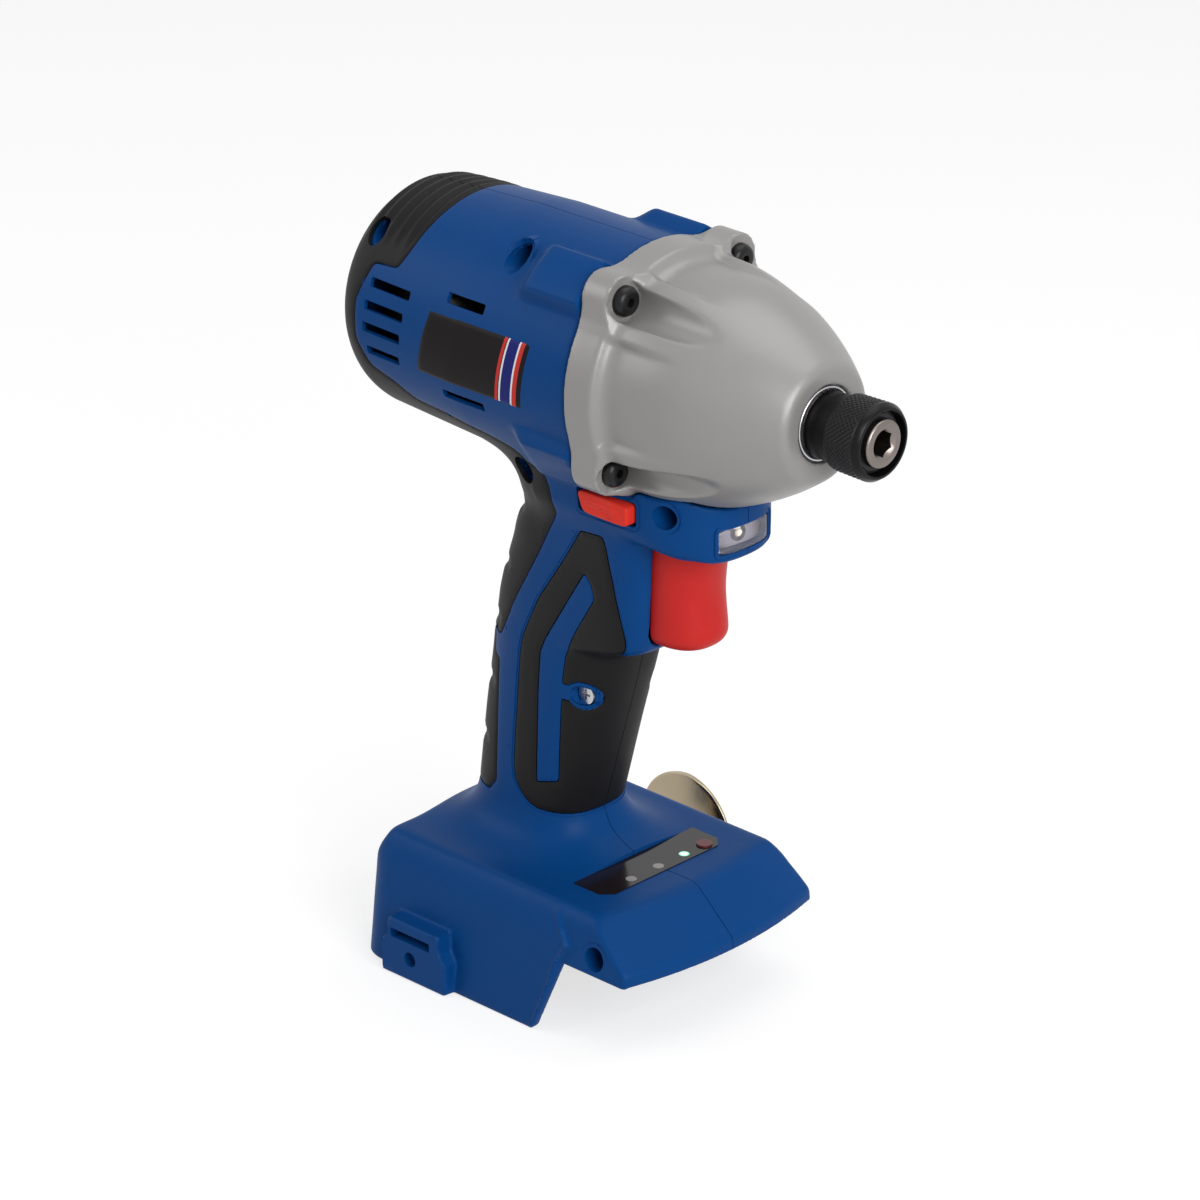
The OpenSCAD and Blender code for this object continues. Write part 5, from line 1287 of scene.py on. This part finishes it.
# Work light window
def lens_window():
    """Clear block with rounded corners; its front follows the oval of the chin and its edge is eased."""
    t = round_angles(96)
    u, v = squared(np.cos(t), 0.24), squared(np.sin(t), 0.24)

    def ring(scale, inset, depth):
        y, z = (LIGHT_HALF_Y - inset) * scale * u, LIGHT_Z + (LIGHT_HALF_Z - inset) * scale * v
        oval = (1 - (np.abs(y) / CHIN_HALF) ** CHIN_POWER) ** (1 / CHIN_POWER)
        front = CHIN_FROM + CHIN_REACH * oval - 0.04
        return np.stack([front - inset if depth is None else np.full(96, depth), y, z], 1)

    rows = [ring(k, 0.0, 28.45) for k in (0.01, 0.5, 1.0)]
    rows += [ring(1.0, 0.3 * k, None) for k in (0.0, 0.5)]
    rows[-2][:, 0] -= 0.3
    rows += [ring(k, 0.3, None) + np.array([0.3, 0, 0]) for k in np.linspace(1, 0.01, 14)]
    pts = np.stack(rows)
    return pts.reshape(-1, 3), grid_faces(len(rows), 96, True)


pts, faces = lens_window()
place("led_lens_window", pts, faces, LENS, "housing", "clear_lens", ["led_lens"], 50)


def work_light():
    """Dish with a raised rim, a round cup in its middle and a domed lamp, each a profile carried round
    an oval."""
    t = round_angles(96)
    u, v = squared(np.cos(t), 0.3), squared(np.sin(t), 0.3)
    plate = [(0.01, 26.8), (1.0, 26.8), (1.0, 27.9), (0.95, 28.2), (0.6, 27.7), (0.01, 27.6)]
    cup = [(1.55, 27.5), (2.15, 27.5), (2.15, 28.2), (1.95, 28.35), (1.7, 28.2), (1.55, 27.9), (1.55, 27.5)]
    lamp = [(0.01, 27.5), (1.15, 27.5), (1.15, 27.8), (1.0, 28.1), (0.6, 28.35), (0.01, 28.42)]
    parts = []
    c, s = np.cos(t), np.sin(t)
    for profile, y, z in ((plate, 7.0 * u, 3.0 * v), (cup, c, s), (lamp, c, s)):
        rows = [np.stack([x + 0 * t, k * y, LIGHT_Z + k * z], 1) for k, x in profile]
        parts.append((np.concatenate(rows), grid_faces(len(rows), 96, True)))
    return joined(parts)


pts, faces = work_light()
place("led_board_lamp", pts, faces, LED, "housing", "circuit_board", ["led_board"], 45)


# Belt hook: sides of its two limbs, its lowest and its first level, bend, half width, round end
HOOK_IN, HOOK_OUT, HOOK_LOW, HOOK_TOP, BEND = 44.8, 66.0, 1.4, 13.6, 2.6
HOOK_HALF, END_R, END_Z = 8.0, 17.0, 7.5


def hook_strip():
    """Rounded strip carried along a square-bent path; its width opens into the round end."""
    bent = HOOK_LOW + BEND
    line = [np.stack([np.full(10, HOOK_IN), np.linspace(HOOK_TOP, bent, 10)], 1)]
    a = np.linspace(math.pi, 1.5 * math.pi, 9)[1:]
    line.append(np.stack([HOOK_IN + BEND + BEND * np.cos(a), bent + BEND * np.sin(a)], 1))
    line.append(np.stack([np.linspace(HOOK_IN + BEND, HOOK_OUT - BEND, 12)[1:], np.full(11, HOOK_LOW)], 1))
    a = np.linspace(1.5 * math.pi, 2 * math.pi, 9)[1:]
    line.append(np.stack([HOOK_OUT - BEND + BEND * np.cos(a), bent + BEND * np.sin(a)], 1))
    rise = END_Z + END_R * np.sin(np.linspace(math.asin((bent - END_Z) / END_R), math.pi / 2, 60))[1:]
    line.append(np.stack([np.full(59, HOOK_OUT), rise], 1))
    path = np.concatenate(line)
    side, height = path[:, 0], path[:, 1]
    step = np.gradient(path, axis=0)
    step /= np.linalg.norm(step, axis=1, keepdims=True)
    normal = np.stack([-step[:, 1], step[:, 0]], 1)
    rounded = np.sqrt(np.maximum(END_R ** 2 - (height - END_Z) ** 2, 0.0004))
    opening = HOOK_HALF + (rounded - HOOK_HALF) * ease(side, 62.5, HOOK_OUT)
    wide = np.where(side > 65.9, rounded, np.where(side > 62, opening, HOOK_HALF))
    t = round_angles(64)
    across, thick = squared(np.cos(t), 0.22), 0.8 * squared(np.sin(t), 0.55)
    thin = np.minimum(1.0, wide / 0.9)[:, None]
    x = HOOK_AT + wide[:, None] * across
    y = path[:, :1] + normal[:, :1] * thick * thin
    z = path[:, 1:] + normal[:, 1:] * thick * thin
    pts = np.stack([x, y, z], -1)
    first = pts[0].mean(0) + (pts[0] - pts[0].mean(0)) * 0.01
    pts = np.concatenate([first[None], pts])
    return pts.reshape(-1, 3), grid_faces(len(pts), 64, True)[:, ::-1]


pts, faces = hook_strip()
place("belt_hook_strip", pts, faces, NICKEL, "housing", "nickel_steel", ["belt_hook"], 55)


# Springs: coils of wire in place of the CAD springs, each on its body
def coil(x0, x1, mean, wire, turns, z):
    """Round wire carried along a helix about the X direction, its ends drawn to a point."""
    t = np.linspace(0, 1, int(turns * 40) + 1)
    a = 2 * math.pi * turns * t
    out = np.stack([0 * a, np.cos(a), np.sin(a)], 1)[:, None, :]
    middle = mean * out + np.stack([x0 + wire + (x1 - x0 - 2 * wire) * t, 0 * t, z + 0 * t], 1)[:, None, :]
    b = round_angles(14)[None, :, None]
    thick = wire * np.where((t == 0) | (t == 1), 0.02, 1.0)[:, None, None]
    pts = middle + thick * (np.cos(b) * out + np.sin(b) * np.array([1.0, 0, 0]))
    return pts.reshape(-1, 3), grid_faces(len(t), 14, True)[:, ::-1]


for node, body, joint, fixed_end, keep, mean, wire, turns, z in (
        ("hammer_spring", "carrier", "hammer_retract", 0, 0.63, 13.5, 1.4, 4.5, AXIS),
        ("sleeve_spring", "chuck", "sleeve_pull", 1, 0.385, 7.55, 0.45, 3.0, AXIS),
        ("trigger_spring", "housing", "trigger_pull", 0, 0.49, 4.3, 0.5, 6.0, 123.0)):
    x0, x1 = (corner[0] * 1000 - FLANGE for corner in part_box(node))
    pts, faces = coil(x0, x1, mean, wire, turns, z)
    spring = place(node + "_coil", pts, faces, STEEL, body, "bright_steel", [node], 60)
    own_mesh(spring)

# Finishes of the CAD pieces that stay
CAD_FINISH = [
    (STEEL, ["detent_balls", "hammer", "thrust_washer", "spindle", "cam_balls", "planet_pins",
             "planet_gear_1", "planet_gear_2", "planet_gear_3", "ring_gear", "spindle_bearing",
             "armature_core", "armature_shaft", "motor_pinion", "front_bearing", "rear_bearing",
             "housing_screws"]),
    (DARK_STEEL, ["sleeve_circlip", "motor_can", "sleeve_washer", "anvil_washer", "hook_screw"]),
    (BRONZE, ["anvil_bush", "hook_inserts"]),
    (COPPER, ["windings", "commutator", "terminal_blades"]),
    (MAGNET, ["field_magnets"]),
    (CARBON, ["carbon_brushes"]),
    (BLACK, ["gear_plate", "motor_fan", "brush_holder", "switch_body", "trigger_plunger", "terminal_block"]),
    (SMOKY, ["indicator_panel"]),
    (LIGHTS, ["indicator_board"]),
    (DARK_RED, ["indicator_button"])]
for mat, names in CAD_FINISH:
    for node in names:
        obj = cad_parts[node]
        obj.data.materials.clear()
        obj.data.materials.append(mat)


# Floor, light and camera
FLOOR_HALF, FLOOR_Z, FLOOR_GLOW = 6, -0.0002, 0.55
FLOOR_LIT, FLOOR_SEEN = 0.45, 1.25
WORLD_LIT, WORLD_SEEN = 0.36, 1.0
WHITE = (1, 1, 1, 1)


def strength(nodes, links, lit, seen):
    """Strength of a backdrop: one value for the light on the object, another where the camera,
    a reflection or a clear piece sees it."""
    ray = nodes.new("ShaderNodeLightPath")
    found = ray.outputs["Is Camera Ray"]
    for name in ("Is Glossy Ray", "Is Transmission Ray"):
        found = maths(nodes, links, "MAXIMUM", found, ray.outputs[name])
    level = nodes.new("ShaderNodeMapRange")
    level.inputs["To Min"].default_value = lit
    level.inputs["To Max"].default_value = seen
    links.new(found, level.inputs["Value"])
    return level.outputs[0]


floor_mesh = bpy.data.meshes.new("floor")
corners = [(FLOOR_HALF * x, FLOOR_HALF * y, 0) for x, y in ((-1, -1), (1, -1), (1, 1), (-1, 1))]
floor_mesh.from_pydata(corners, [], [(0, 1, 2, 3)])
floor = bpy.data.objects.new("floor", floor_mesh)
bpy.context.scene.collection.objects.link(floor)
floor.location.z = FLOOR_Z
paper = bpy.data.materials.new("paper")
paper.use_nodes = True
nodes, links = paper.node_tree.nodes, paper.node_tree.links
glow = nodes.new("ShaderNodeEmission")
glow.inputs["Color"].default_value = WHITE
mixer = nodes.new("ShaderNodeMixShader")
base = nodes["Principled BSDF"]
base.inputs["Base Color"].default_value = (0.86, 0.86, 0.86, 1)
base.inputs["Roughness"].default_value = 0.9
mixer.inputs[0].default_value = FLOOR_GLOW
links.new(base.outputs[0], mixer.inputs[1])
links.new(glow.outputs[0], mixer.inputs[2])
links.new(strength(nodes, links, FLOOR_LIT, FLOOR_SEEN), glow.inputs["Strength"])
links.new(mixer.outputs[0], nodes["Material Output"].inputs["Surface"])
floor_mesh.materials.append(paper)

world = bpy.data.worlds.new("studio")
bpy.context.scene.world = world
world.use_nodes = True
nodes, links = world.node_tree.nodes, world.node_tree.links
back = nodes["Background"]
back.inputs["Color"].default_value = WHITE
links.new(strength(nodes, links, WORLD_LIT, WORLD_SEEN), back.inputs["Strength"])


def soft_box(name, place_at, aim, size, power):
    """Large square lamp turned towards a point."""
    lamp = bpy.data.lights.new(name, "AREA")
    lamp.shape = "SQUARE"
    lamp.size = size
    lamp.energy = power
    obj = bpy.data.objects.new(name, lamp)
    bpy.context.scene.collection.objects.link(obj)
    obj.location = place_at
    obj.rotation_euler = (Vector(aim) - Vector(place_at)).to_track_quat("-Z", "Y").to_euler()


soft_box("top_box", (0.15, 0.25, 1.1), (0.0, 0.0, 0.15), 0.8, 3.6)
soft_box("left_box", (-0.9, -0.7, 0.7), (0.0, 0.0, 0.12), 0.7, 3.8)
soft_box("front_box", (1.0, -0.35, 0.6), (0.02, 0.0, 0.12), 0.7, 9.5)

AZIMUTH, ELEVATION, DISTANCE, LOOK_AT = 43.9, 23.92, 1.51322, (0.0196, 0, 0.10859)
camera = bpy.data.cameras.new("camera")
camera.sensor_width = 36
camera.lens = 170.5
eye = bpy.data.objects.new("camera", camera)
bpy.context.scene.collection.objects.link(eye)
turn, rise = math.radians(AZIMUTH), math.radians(ELEVATION)
backward = Vector((math.sin(turn) * math.cos(rise), -math.cos(turn) * math.cos(rise), math.sin(rise)))
eye.location = Vector(LOOK_AT) + backward * DISTANCE
eye.rotation_euler = backward.to_track_quat("Z", "Y").to_euler()
bpy.context.scene.camera = eye
bpy.context.scene.view_settings.view_transform = "Standard"
